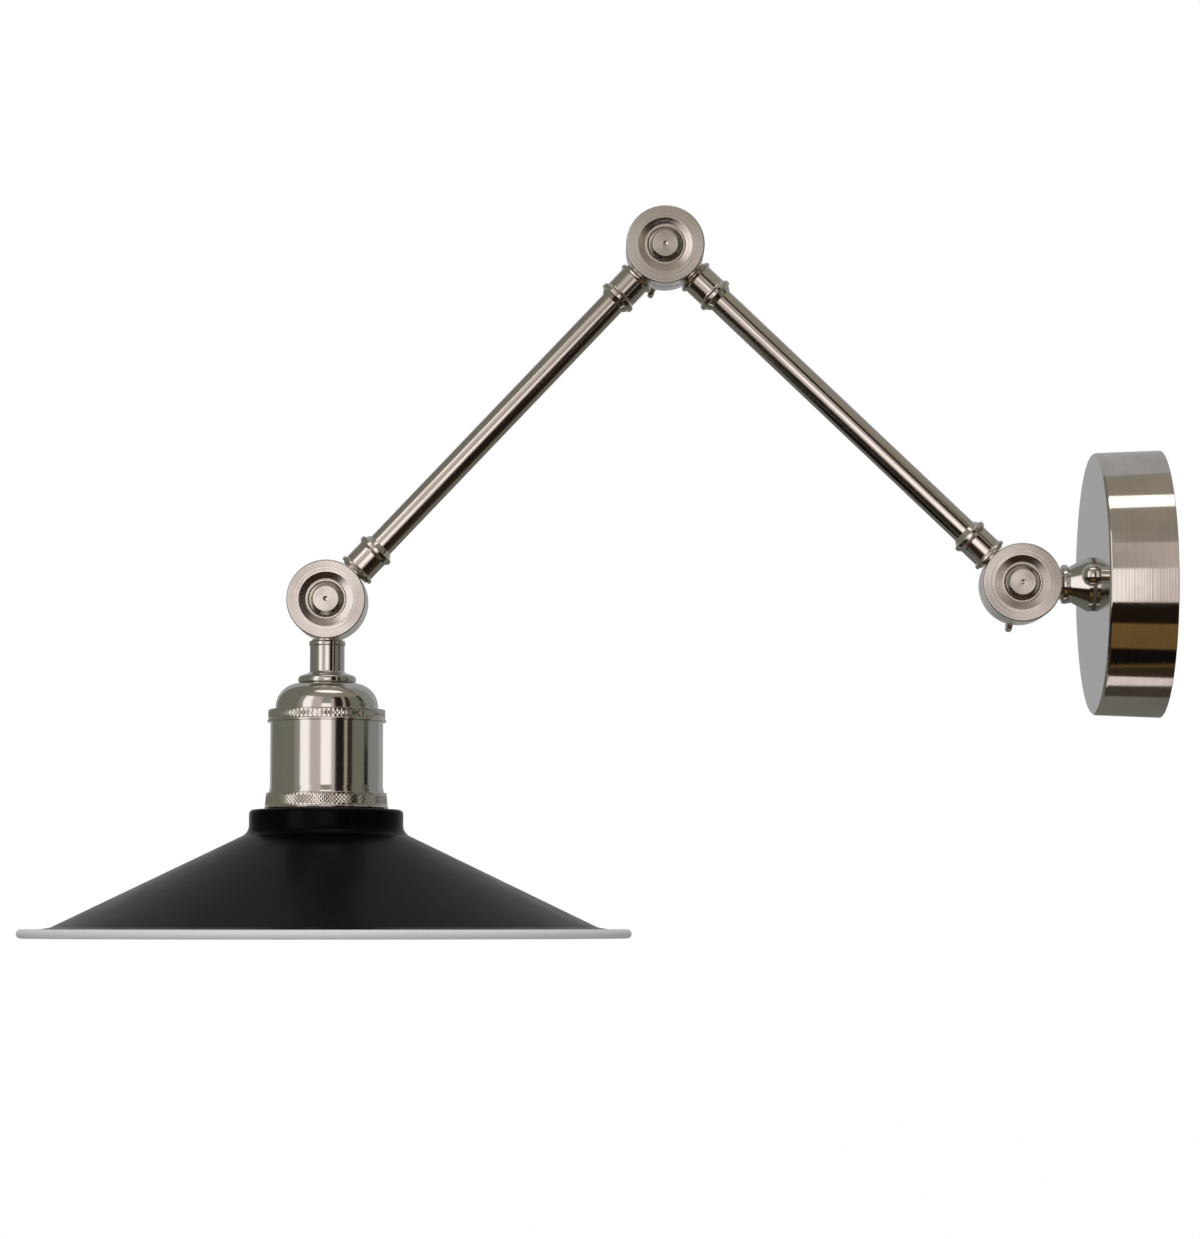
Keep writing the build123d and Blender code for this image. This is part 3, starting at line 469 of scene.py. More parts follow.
def noise(tree, vector, scale, detail, **settings):
    """Output of a noise texture."""
    inputs = {"Vector": vector, "Scale": scale, "Detail": detail}
    return link(tree, "ShaderNodeTexNoise", inputs, **settings).outputs["Fac"]


def reckoned(tree, operation, *values):
    """Output of a math node."""
    return link(tree, "ShaderNodeMath", dict(enumerate(values)), operation=operation).outputs["Value"]


def ranged(tree, value, limits):
    """Output of a map range node."""
    return link(tree, "ShaderNodeMapRange", {"Value": value, **limits}).outputs["Result"]


def shaded(base, amount):
    """The colour made lighter or darker."""
    return (*(part * amount for part in base[:3]), 1.0)


def colour_mix(tree, factor, base, contrast):
    """Output that mixes the colour made lighter and made darker by the contrast."""
    inputs = {0: factor, 6: shaded(base, 1 + contrast), 7: shaded(base, 1 - contrast)}
    return link(tree, "ShaderNodeMix", inputs, data_type="RGBA").outputs[2]


def lathe_marks(tree, position, scale):
    """Turning marks: fine rings round local Z, uneven along the piece."""
    split = link(tree, "ShaderNodeSeparateXYZ", {"Vector": position}).outputs
    flat = link(tree, "ShaderNodeCombineXYZ", {"X": split["X"], "Y": split["Y"]})
    radius = link(tree, "ShaderNodeVectorMath", {0: flat.outputs["Vector"]}, operation="LENGTH")
    ring = link(tree, "ShaderNodeCombineXYZ", {"X": radius.outputs["Value"], "Y": split["Z"]})
    marks = noise(tree, ring.outputs["Vector"], scale, 3.0, noise_dimensions="2D")
    wide = reckoned(tree, "MULTIPLY", scale, 0.22)
    return marks, noise(tree, ring.outputs["Vector"], wide, 2.0, noise_dimensions="2D")


def handling(tree, position, scale):
    """Handling and age: soft smudges."""
    return (ranged(tree, noise(tree, position, scale, 3.0), {"From Min": 0.35, "From Max": 0.7}),)


def fine_grain(tree, position, scale):
    """Grain of a cast, sprayed or moulded surface."""
    wide = reckoned(tree, "MULTIPLY", scale, 0.06)
    return noise(tree, position, scale, 2.0), noise(tree, position, wide, 3.0)


# maker, name and value of the scale, outputs
EFFECTS = {
    "lathe_marks": (lathe_marks, "Marks per metre", 1500.0, ("Height", "Streak")),
    "handling": (handling, "Smudges per metre", 60.0, ("Smudge",)),
    "fine_grain": (fine_grain, "Grains per metre", 900.0, ("Height", "Tone")),
}


def effect(name):
    """The shared node group of that name, made when first asked for."""
    known = bpy.data.node_groups.get(name)
    if known:
        return known
    maker, label, scale, outputs = EFFECTS[name]
    tree = bpy.data.node_groups.new(name, "ShaderNodeTree")
    tree.interface.new_socket(name="Position", in_out="INPUT", socket_type="NodeSocketVector")
    tree.interface.new_socket(name=label, in_out="INPUT", socket_type="NodeSocketFloat").default_value = scale
    for output in outputs:
        tree.interface.new_socket(name=output, in_out="OUTPUT", socket_type="NodeSocketFloat")
    start = tree.nodes.new("NodeGroupInput").outputs
    results = maker(tree, start["Position"], start[label])
    feed(tree, tree.nodes.new("NodeGroupOutput"), dict(zip(outputs, results)))
    return tree


def placed(tree, name, scale=None):
    """Outputs of a shared effect in a material, fed with the object's own coordinates."""
    inputs = {"Position": link(tree, "ShaderNodeTexCoord").outputs["Object"]}
    if scale is not None:
        inputs[EFFECTS[name][1]] = scale
    return link(tree, "ShaderNodeGroup", inputs, node_tree=effect(name)).outputs


# ---------- finishes
def blank_material(name):
    """Material with a Principled shader, its tree and that shader."""
    material = bpy.data.materials.new(name)
    material.use_nodes = True
    return material, material.node_tree, material.node_tree.nodes["Principled BSDF"]


def bumped(tree, height, strength, distance):
    """Normal of a bumped surface."""
    inputs = {"Height": height, "Strength": strength, "Distance": distance}
    return link(tree, "ShaderNodeBump", inputs).outputs["Normal"]


def turned_metal(name, base, gloss, marks, depth, stretch=0.0, contrast=0.1):
    """Metal turned or polished round local Z, with its marks, smudges and stretched highlights."""
    material, tree, shader = blank_material(name)
    cut = placed(tree, "lathe_marks", marks)
    worn = placed(tree, "handling")
    blend = reckoned(tree, "MULTIPLY_ADD", cut["Streak"], 0.7, worn["Smudge"])
    tone = ranged(tree, blend, {"From Min": 0.1, "From Max": 1.4})
    shiniest = max(gloss * (1 - DULLING), 0.02)
    inputs = {
        "Base Color": colour_mix(tree, tone, base, contrast),
        "Roughness": ranged(tree, tone, {"To Min": shiniest, "To Max": gloss * (1 + 3 * DULLING)}),
        "Normal": bumped(tree, cut["Height"], depth, 0.0002),
        "Metallic": 1.0,
    }
    if stretch:
        tangent = link(tree, "ShaderNodeTangent", direction_type="RADIAL", axis="Z")
        inputs.update({"Anisotropic": stretch, "Tangent": tangent.outputs["Tangent"]})
    feed(tree, shader, inputs)
    return material


def grained(name, base, gloss, grains, depth, contrast=0.08, metal=0.0, coat=0.0, shine=0.5):
    """Cast, sprayed, glazed or moulded surface with its grain and smudges."""
    material, tree, shader = blank_material(name)
    grain = placed(tree, "fine_grain", grains)
    worn = placed(tree, "handling")
    inputs = {
        "Base Color": colour_mix(tree, grain["Tone"], base, contrast),
        "Roughness": ranged(tree, worn["Smudge"], {"To Min": gloss, "To Max": min(gloss * 1.35, 1.0)}),
        "Normal": bumped(tree, grain["Height"], depth, 0.0003),
        "Metallic": metal,
        "Specular IOR Level": shine,
    }
    if coat:
        inputs.update({"Coat Weight": coat, "Coat Roughness": gloss * 0.6})
    feed(tree, shader, inputs)
    return material


# maker, colour, roughness or the gloss setting and its share, marks or grains per metre, depth, other settings
FINISHES = {
    "polished_nickel": (turned_metal, "nickel", ("polish", 1.0), 900.0, 0.05, {}),
    "drawn_nickel": (turned_metal, "nickel", ("satin", 0.7), 250.0, 0.003, {"contrast": 0.05}),
    "brushed_nickel": (turned_metal, "nickel", ("polish", 0.6), 2200.0, 0.05, {}),
    "turned_nickel": (turned_metal, "nickel", ("satin", 1.0), 1300.0, 0.16, {"stretch": 0.75}),
    "satin_nickel": (turned_metal, "nickel", ("satin", 1.0), 2600.0, 0.03, {}),
    "cast_nickel": (grained, "nickel", 0.24, 700.0, 0.12, {"metal": 1.0}),
    "knurled_nickel": (grained, "nickel", 0.12, 600.0, 0.02, {"metal": 1.0}),
    "black_enamel": (grained, "black_enamel", 0.2, 1100.0, 0.02, {"contrast": 0.15, "shine": 0.055}),
    "white_enamel": (grained, "white_enamel", 0.3, 500.0, 0.03, {"contrast": 0.02}),
    "steel": (turned_metal, "steel", 0.3, 900.0, 0.08, {}),
    "brass": (turned_metal, "brass", 0.22, 1200.0, 0.06, {}),
    "porcelain": (grained, "porcelain", 0.16, 250.0, 0.05, {"contrast": 0.03, "coat": 0.6}),
    "fibre": (grained, "fibre", 0.8, 1800.0, 0.4, {"contrast": 0.3}),
    "nylon": (grained, "nylon", 0.42, 600.0, 0.04, {"contrast": 0.03}),
    "lead_insulation": (grained, "insulation", 0.42, 400.0, 0.06, {"contrast": 0.1}),
    "connector_plastic": (grained, "connector", 0.3, 500.0, 0.04, {"contrast": 0.05}),
    "green_screw": (grained, "green_screw", 0.35, 800.0, 0.08, {"contrast": 0.15}),
}


def finish(name):
    """The lamp's finish of that name, made when first asked for."""
    known = bpy.data.materials.get(name)
    if known:
        return known
    colours = bpy.context.scene.wall_lamp.finish
    maker, base, gloss, scale, depth, settings = FINISHES[name]
    if isinstance(gloss, tuple):
        gloss = getattr(colours, gloss[0]) * gloss[1]
    return maker(name, getattr(colours, base), gloss, scale, depth, **settings)


def refinish(node, name, bevel):
    """Gives a CAD node its finish, smooth shading and softened edges."""
    piece = frame["nodes"][node]
    mesh = piece.data
    mesh.materials.clear()
    mesh.materials.append(finish(name))
    mesh.polygons.foreach_set("use_smooth", [True] * len(mesh.polygons))
    mesh.polygons.foreach_set("material_index", [0] * len(mesh.polygons))
    mesh.set_sharp_from_angle(angle=math.radians(30))
    weld = piece.modifiers.new("Join seams", "WELD")
    weld.merge_threshold = 0.002 * MM
    if bevel:
        soft = soft_edges(piece, bevel, 2)
        soft.harden_normals = True


def soft_edges(piece, width, segments):
    """Bevels the sharp edges of a piece."""
    soft = piece.modifiers.new("Soft edges", "BEVEL")
    soft.width = width
    soft.segments = segments
    soft.limit_method = "ANGLE"
    soft.angle_limit = math.radians(50)
    return soft


# ---------- canopy
class WALLLAMP_OT_canopy(bpy.types.Operator):
    """Make the canopy's spun cup and its two ball nuts"""

    bl_idname = "wall_lamp.canopy"
    bl_label = "Canopy"

    def execute(self, context):
        sizes = context.scene.wall_lamp.canopy
        make_cup(sizes)
        make_ball_nuts(sizes)
        return {"FINISHED"}


def make_cup(sizes):
    """Spun cup, open at the wall, its flat face with a finish of its own."""
    corners = [
        (sizes.bore_radius, sizes.depth),
        (sizes.front_radius, sizes.depth, sizes.edge),
        (sizes.back_radius, 0, 0.25 * MM),
        (sizes.back_radius - sizes.wall, 0, 0.25 * MM),
        (sizes.front_radius - sizes.wall, sizes.depth - sizes.wall, sizes.edge / 2),
        (sizes.bore_radius, sizes.depth - sizes.wall),
    ]
    outline = rounded(corners, closed=True)
    face = sizes.depth - 0.01 * MM
    flat = [1 if min(a.y, b.y) > face else 0 for a, b in zip(outline, outline[1:] + outline[:1])]
    form = Form()
    form.turn(outline, closed=True, finishes=flat, around=256)
    place = standing(Vector((0, 0, 0)), -TOWARDS_WALL)
    form.fit("canopy_cup", "base", "canopy", place, ("brushed_nickel", "polished_nickel"))


def make_ball_nuts(sizes):
    """Two ball-headed nuts on short skirts."""
    centre = low("ball_nuts").y + sizes.ball_radius
    standoff = -sizes.depth - centre
    tilt = math.degrees(math.asin(sizes.skirt_radius / sizes.ball_radius))
    outline = [Vector((0, 0)), Vector((sizes.skirt_radius, 0))]
    outline += arc((0, standoff), sizes.ball_radius, tilt - 90, 90, 24)
    form = Form()
    offset = high("ball_nuts").x - sizes.ball_radius
    for side in (-1, 1):
        form.turn(outline, place=Matrix.Translation((side * offset, 0, 0)), around=64)
    place = standing(Vector((0, -sizes.depth, 0)), -TOWARDS_WALL)
    form.fit("canopy_ball_nuts", "base", "ball_nuts", place)


# ---------- swivel
class WALLLAMP_OT_swivel(bpy.types.Operator):
    """Make the swivel's cone with its bead"""

    bl_idname = "wall_lamp.swivel"
    bl_label = "Swivel"

    def execute(self, context):
        sizes = context.scene.wall_lamp.swivel
        whole = span("swivel_cone").y
        shoulder = whole - sizes.bead_width
        corners = [
            (0, 0),
            (sizes.base_radius, 0, 0.3 * MM),
            (sizes.base_radius, sizes.band, 1.2 * MM),
            (sizes.tip_radius, shoulder, 0.3 * MM),
            (sizes.bead_radius, shoulder + 0.25 * MM, 0.6 * MM),
            (sizes.bead_radius, whole - 0.3 * MM, 0.9 * MM),
            (sizes.tip_radius - 0.6 * MM, whole, 0.2 * MM),
            (0, whole),
        ]
        place = standing(Vector((0, high("swivel_cone").y, 0)), -TOWARDS_WALL)
        turned("swivel_cone_body", "swivel", "swivel_cone", place, corners, closed=False)
        return {"FINISHED"}


# ---------- knuckles
# name, pivot, body and direction of the front half's stub, body and direction of the rear half's stub
KNUCKLES = (
    ("wall", WALL_PIVOT, "swivel", TOWARDS_WALL, "inner_arm", INNER_ARM),
    ("elbow", ELBOW_PIVOT, "outer_arm", OUTER_ARM, "inner_arm", -INNER_ARM),
    ("shade", SHADE_PIVOT, "outer_arm", -OUTER_ARM, "holder", DOWN),
)


class WALLLAMP_OT_knuckles(bpy.types.Operator):
    """Make both halves and the pivot bolt of each knuckle"""

    bl_idname = "wall_lamp.knuckles"
    bl_label = "Knuckles"

    def execute(self, context):
        sizes = context.scene.wall_lamp.knuckle
        for name, pivot, front_body, front_way, rear_body, rear_way in KNUCKLES:
            rear_seat = low(f"{name}_knuckle_rear").x + sizes.half_thickness
            front = Matrix.Translation(pivot + Vector((sizes.seat, 0, 0))) @ TO_FRONT
            rear = Matrix.Translation(pivot + Vector((rear_seat, 0, 0))) @ TO_REAR
            make_half(sizes, f"{name}_knuckle_front", pivot, front, front_body, front_way)
            make_half(sizes, f"{name}_knuckle_rear", pivot, rear, rear_body, rear_way)
            make_bolt(sizes, f"{name}_pivot_bolt", pivot, front_body)
        return {"FINISHED"}


def make_half(sizes, node, pivot, place, body, way):
    """One half: its turned disc with dish, lip and pocket, and the stub that holds a ferrule."""
    face = sizes.half_thickness
    dish = face - sizes.dish_depth
    lip = dish + sizes.lip_height
    pocket = sizes.lip_radius - sizes.lip_width
    floor = face - sizes.pocket_depth
    disc = [
        (sizes.bolt_radius, 0),
        (sizes.radius, 0, 0.25 * MM),
        (sizes.radius, face, sizes.chamfer),
        (sizes.dish_radius, face, 0.35 * MM),
        (sizes.lip_radius + 0.15 * MM, dish, 0.2 * MM),
        (sizes.lip_radius, lip, 0.18 * MM),
        (pocket, lip, 0.2 * MM),
        (pocket, floor, 0.3 * MM),
        (sizes.bolt_radius, floor),
    ]
    form = Form()
    form.turn(rounded(disc, closed=True), closed=True)
    start = sizes.radius - 0.2 * MM
    stub = [(0, start), (sizes.shoulder_radius, start), (sizes.shoulder_radius, STUB_FACE), (0, STUB_FACE)]
    form.turn(stub, place=place.inverted() @ standing(pivot, way), around=64, finishes=[1] * 3)
    form.fit(node.replace("knuckle", "disc"), body, node, place, ("turned_nickel", "satin_nickel"), "nickel")


def make_bolt(sizes, node, pivot, body):
    """Pivot bolt: button head with its turning centre, and the thread's end beyond the wing nut."""
    head = sizes.seat + sizes.half_thickness - sizes.pocket_depth
    top = head + sizes.head_height
    end = low(node).x
    thread = []
    height = end + 5.5 * MM
    while height > end + 0.9 * MM:
        thread += [(sizes.bolt_radius - 0.3 * MM, height), (sizes.bolt_radius, height - 0.5 * MM)]
        height -= 1.0 * MM
    corners = [
        (0, top - 0.5 * MM),
        (sizes.dimple_radius * 0.5, top - 0.22 * MM),
        (sizes.dimple_radius, top, 0.15 * MM),
        (sizes.head_radius, top, sizes.head_edge),
        (sizes.flank_radius, top - sizes.flank_height, 1.6 * MM),
        (sizes.flank_radius, head, 0.2 * MM),
        (sizes.bolt_radius, head),
        *thread,
        (sizes.bolt_radius - 0.4 * MM, end),
        (0, end),
    ]
    place = Matrix.Translation(pivot) @ TO_FRONT
    looks = {"finishes": ("turned_nickel",), "slot": "nickel"}
    turned(f"{node}_head", body, node, place, corners, closed=False, around=96, **looks)


# ---------- wing nuts
class WALLLAMP_OT_wing_nuts(bpy.types.Operator):
    """Make the three wing nuts behind the knuckles"""

    bl_idname = "wall_lamp.wing_nuts"
    bl_label = "Wing nuts"

    def execute(self, context):
        sizes = context.scene.wall_lamp.wing_nut
        for name, pivot, *_ in KNUCKLES:
            make_wing_nut(sizes, f"{name}_wing_nut", pivot)
        return {"FINISHED"}


def wing_angle(node, pivot):
    """Angle of the wings about the bolt, from how the node's points spread."""
    spread = [vertex.co - pivot for vertex in frame["nodes"][node].data.vertices]
    across = sum(2 * point.y * point.z for point in spread)
    along = sum(point.y**2 - point.z**2 for point in spread)
    return math.atan2(across, along) / 2


def make_wing_nut(sizes, node, pivot):
    """Hub and two wings, thinner towards their tips, turned in the mesh so that its box stays tight."""
    angle = wing_angle(node, pivot)
    way = Vector((0, math.cos(angle), math.sin(angle)))
    axis = Vector((-1, 0, 0))
    tilt = Matrix((way, axis.cross(way), axis)).transposed().to_4x4()
    hub = [
        (BOLT_HOLE, 0),
        (sizes.hub_radius, 0, 0.4 * MM),
        (sizes.hub_top_radius, sizes.hub_height, 0.7 * MM),
        (BOLT_HOLE, sizes.hub_height, 0.3 * MM),
    ]
    root, tip = 3.6 * MM, sizes.tip_radius
    blade = [
        (root, 0.9 * MM),
        (sizes.hub_radius, 0.9 * MM, 1.5 * MM),
        (sizes.wing_span, sizes.wing_height - 2 * tip, tip),
        (sizes.wing_span, sizes.wing_height, tip * 0.89),
        (sizes.wing_span - 2 * tip, sizes.wing_height, tip * 0.89),
        (root, sizes.hub_height - 0.5 * MM),
    ]
    form = Form()
    form.turn(rounded(hub, closed=True), closed=True, place=tilt, around=64)
    shape = extruded(rounded(blade, closed=True), sizes.thickness, sizes.thickness * 0.8)
    for turn in (0, math.pi):
        form.add(*shape, place=tilt @ Matrix.Rotation(turn, 4, "Z"))
    place = Matrix.Translation((high(node).x, pivot.y, pivot.z))
    nut = form.fit(f"{node}_casting", node, node, place, ("cast_nickel",))
    soft_edges(nut, 0.8 * MM, 3)
    nut.modifiers.move(1, 0)


# ---------- arms
ARMS = (("inner_arm", WALL_PIVOT, ELBOW_PIVOT), ("outer_arm", ELBOW_PIVOT, SHADE_PIVOT))


class WALLLAMP_OT_arms(bpy.types.Operator):
    """Make the tubes and ferrules of both arms"""

    bl_idname = "wall_lamp.arms"
    bl_label = "Arms"

    def execute(self, context):
        sizes = context.scene.wall_lamp.arm
        for body, near, far in ARMS:
            way = (far - near).normalized()
            make_ferrule(sizes, f"{body}_near_ferrule", standing(near, way), body)
            make_ferrule(sizes, f"{body}_far_ferrule", standing(far, -way), body)
            make_tube(sizes, body, standing(near, way), (far - near).length)
        return {"FINISHED"}


def make_ferrule(sizes, node, place, body):
    """Sleeve with a bead at each end and a taper onto the tube."""
    start = STUB_FACE
    end = start + sizes.ferrule_length
    bead, wide = sizes.bead_width, sizes.bead_radius
    seat = start + 8.2 * MM
    corners = [
        (LEAD_BORE, start),
        (wide - 0.5 * MM, start, 0.3 * MM),
        (wide, start + 0.45 * bead, 0.35 * MM),
        (wide - 0.3 * MM, start + bead, 0.4 * MM),
        (sizes.ferrule_radius, start + bead + 0.3 * MM, 0.4 * MM),
        (sizes.ferrule_radius, end - bead - 0.9 * MM, 1.2 * MM),
        (wide, end - bead, 0.3 * MM),
        (wide, end, 0.5 * MM),
        (sizes.ferrule_radius + 0.1 * MM, end + 0.1 * MM, 0.5 * MM),
        (sizes.tube_radius + 0.35 * MM, end + sizes.flare_length, 0.12 * MM),
        (sizes.tube_radius - 0.3 * MM, end + sizes.flare_length),
        (sizes.tube_radius - 0.3 * MM, seat),
        (LEAD_BORE, seat),
    ]
    turned(f"{node}_sleeve", body, node, place, corners, steps=4, around=96, finishes=("drawn_nickel",))


def make_tube(sizes, body, place, whole):
    """Straight tube between the two ferrules."""
    start = STUB_FACE + 8.0 * MM
    end = whole - start
    outer, inner = sizes.tube_radius, sizes.tube_radius - 1.2 * MM
    corners = [(inner, start), (outer, start), (outer, whole / 2), (outer, end), (inner, end)]
    turned(f"{body}_drawn_tube", body, f"{body}_tube", place, corners, around=128, finishes=("drawn_nickel",))


# ---------- lampholder
class WALLLAMP_OT_lampholder(bpy.types.Operator):
    """Make the neck, the domed cap, the knurled rings and the shell"""

    bl_idname = "wall_lamp.lampholder"
    bl_label = "Lampholder"

    def execute(self, context):
        sizes = context.scene.wall_lamp.holder
        place = standing(SHADE_PIVOT, DOWN)
        make_neck(sizes, place)
        make_cap(sizes, place)
        make_upper_ring(sizes, place)
        make_shell(sizes, place)
        make_lower_ring(sizes, place)
        return {"FINISHED"}


def make_neck(sizes, place):
    """Turned neck: small bead, barrel and rounded collar."""
    start = STUB_FACE
    end = drop_foot("holder_neck")
    collar = end - sizes.collar_width
    corners = [
        (BOLT_HOLE, start),
        (sizes.neck_bead_radius, start, 0.6 * MM),
        (sizes.neck_bead_radius, start + sizes.neck_bead_width, 0.5 * MM),
        (sizes.neck_radius, start + sizes.neck_bead_width + 0.3 * MM, 0.3 * MM),
        (sizes.neck_radius, collar - 0.6 * MM, 0.8 * MM),
        (sizes.neck_radius + 1.4 * MM, collar + 0.15 * MM, 0.5 * MM),
        (sizes.collar_radius, collar + 1.2 * MM, 1.6 * MM),
        (sizes.collar_radius, end, 1.0 * MM),
        (sizes.neck_radius, end),
        (BOLT_HOLE, end),
    ]
    turned("lampholder_neck", "holder", "holder_neck", place, corners)


def make_cap(sizes, place):
    """Domed cap with its flange under the upper ring."""
    top = drop_foot("holder_neck")
    foot = drop_foot("socket_cap")
    flange = span("socket_cap").x / 2
    wall = sizes.cap_wall
    corners = [
        (NIPPLE_HOLE, top),
        (sizes.cap_radius, top, sizes.crown_radius),
        (sizes.cap_radius, foot - wall),
        (flange, foot - wall),
        (flange, foot),
        (sizes.cap_radius - wall, foot),
        (sizes.cap_radius - wall, top + wall, sizes.crown_radius - wall),
        (NIPPLE_HOLE, top + wall),
    ]
    turned("lampholder_cap", "holder", "socket_cap", place, corners, steps=16)


def make_ring(name, node, place, corners, band):
    """Ring nut with a band of diamonds between its plain edges."""
    form = Form()
    form.turn(rounded(corners, closed=True), closed=True)
    form.add(*knurling(*band), finish=1)
    form.fit(name, "holder", node, place, ("polished_nickel", "knurled_nickel"), smooth=25.0)


def make_upper_ring(sizes, place):
    """Ring over the cap's foot, with a bead at its own foot."""
    node = "upper_knurled_ring"
    top, foot = drop_top(node) - sizes.ring_rise, drop_foot(node)
    wide = span(node).x / 2
    slim = wide - 0.35 * MM
    bore = sizes.cap_radius + RING_GAP
    band_top, band_foot = top + 0.6 * sizes.ring_edge, foot - 1.7 * sizes.ring_edge
    depth = sizes.knurl_depth
    corners = [
        (bore, top),
        (slim - 0.1 * MM, top, 0.3 * MM),
        (slim, band_top),
        (slim - depth, band_top + 0.1 * MM),
        (slim - depth, band_foot - 0.1 * MM),
        (slim, band_foot, 0.1 * MM),
        (wide, foot - 0.9 * MM, 0.3 * MM),
        (wide, foot, 0.3 * MM),
        (bore, foot),
    ]
    band = (slim, slim, band_top, band_foot, sizes.knurl_pitch, depth)
    make_ring("upper_ring_nut", node, place, corners, band)


def make_lower_ring(sizes, place):
    """Ring under the shell, its band wider at the foot."""
    node = "lower_knurled_ring"
    top, foot = drop_top(node), drop_foot(node)
    wide = span(node).x / 2
    slim = wide - 0.65 * MM
    seat, seat_foot = sizes.flare_radius + RING_GAP, top + SHELL_SEAT
    bore = sizes.collar_tube_radius + RING_GAP
    band_top, band_foot = top + 0.8 * sizes.ring_edge, foot - sizes.ring_edge
    band_slim, band_wide = slim + 0.05 * MM, wide - 0.15 * MM
    depth = sizes.knurl_depth
    corners = [
        (seat, top),
        (slim, top, 0.35 * MM),
        (band_slim, band_top),
        (band_slim - depth, band_top + 0.1 * MM),
        (band_wide - depth, band_foot - 0.1 * MM),
        (band_wide, band_foot, 0.1 * MM),
        (wide, foot - 0.4 * MM, 0.2 * MM),
        (wide, foot, 0.2 * MM),
        (bore, foot),
        (bore, seat_foot),
        (seat, seat_foot),
    ]
    band = (band_slim, band_wide, band_top, band_foot, sizes.knurl_pitch, depth)
    make_ring("lower_ring_nut", node, place, corners, band)


def make_shell(sizes, place):
    """Shell with its flare onto the lower ring, and its collar through the shade."""
    top, foot = drop_top("socket_shell"), drop_foot("socket_shell")
    ring_foot = drop_foot("upper_knurled_ring")
    lower = drop_top("lower_knurled_ring")
    bottom = lower + SHELL_SEAT
    inner = sizes.shell_radius - sizes.shell_wall
    flange = span("socket_cap").x / 2
    collar = sizes.collar_tube_radius
    corners = [
        (inner, top),
        (flange, top),
        (flange, ring_foot - 0.5 * MM),
        (sizes.shell_radius, ring_foot - 0.2 * MM),
        (sizes.shell_radius, lower - sizes.flare_length, 4.0 * MM),
        (sizes.flare_radius, lower - 0.5 * MM, 0.5 * MM),
        (sizes.flare_radius, bottom),
        (collar, bottom),
        (collar, foot, 0.3 * MM),
        (collar - 1.5 * MM, foot, 0.3 * MM),
        (collar - 1.5 * MM, bottom - 1.5 * MM),
        (inner, bottom - 1.5 * MM),
    ]
    turned("lampholder_shell", "holder", "socket_shell", place, corners, steps=6, around=192)


# ---------- shade
class WALLLAMP_OT_shade(bpy.types.Operator):
    """Make the spun shade, black outside, white inside and on its rolled edge"""

    bl_idname = "wall_lamp.shade"
    bl_label = "Shade"

    def execute(self, context):
        make_shade(context.scene.wall_lamp.shade)
        return {"FINISHED"}


def make_shade(sizes):
    """Neck, cone and flange from one sheet, and the roll at its edge."""
    top = drop_top("shade")
    roll_height = drop_foot("shade") - sizes.roll
    edge_height = roll_height - sizes.wall / 2
    cone_foot = edge_height - sizes.flange_drop
    neck_foot = top + sizes.neck_height
    rim_radius = sizes.cone_radius + sizes.flange_width
    wall = sizes.wall
    slope = math.atan2(cone_foot - neck_foot, sizes.cone_radius - sizes.neck_radius)
    fall = math.atan2(sizes.flange_drop, sizes.flange_width)
    inner_neck = sizes.neck_radius - wall
    inner_cone = sizes.cone_radius - wall * math.tan((slope - fall) / 2 + fall)
    bend = math.tan((math.pi / 2 - slope) / 2)
    outer = [
        (sizes.hole_radius, top),
        (sizes.neck_radius, top, sizes.neck_edge),
        (sizes.neck_radius, neck_foot, sizes.neck_fillet),
        (sizes.cone_radius, cone_foot, sizes.flange_bend),
        (rim_radius, edge_height),
    ]
    inner = [
        (rim_radius, edge_height + wall / math.cos(fall)),
        (inner_cone, cone_foot + wall, sizes.flange_bend + wall),
        (inner_neck, neck_foot + wall * bend, max(sizes.neck_fillet - wall, 0.2 * MM)),
        (inner_neck, top + wall, max(sizes.neck_edge - wall, 0.2 * MM)),
        (sizes.hole_radius, top + wall),
    ]
    outside = rounded(outer, steps=10)
    inside = rounded(inner, steps=10)
    finishes = [0] * (len(outside) - 1) + [1] * (len(inside) + 1)
    form = Form()
    form.turn(outside + inside, closed=True, finishes=finishes, around=320)
    roll = arc((rim_radius, roll_height), sizes.roll, 0, 345, 23)
    form.turn(roll, closed=True, finishes=[1] * len(roll), around=320)
    place = standing(SHADE_PIVOT, DOWN)
    form.fit("spun_shade", "holder", "shade", place, ("black_enamel", "white_enamel"), "shade_enamel")


# ---------- lamp socket
class WALLLAMP_OT_lamp_socket(bpy.types.Operator):
    """Make the screw shell with its rolled thread"""

    bl_idname = "wall_lamp.lamp_socket"
    bl_label = "Lamp socket"

    def execute(self, context):
        make_screw_shell(context.scene.wall_lamp.holder)
        return {"FINISHED"}


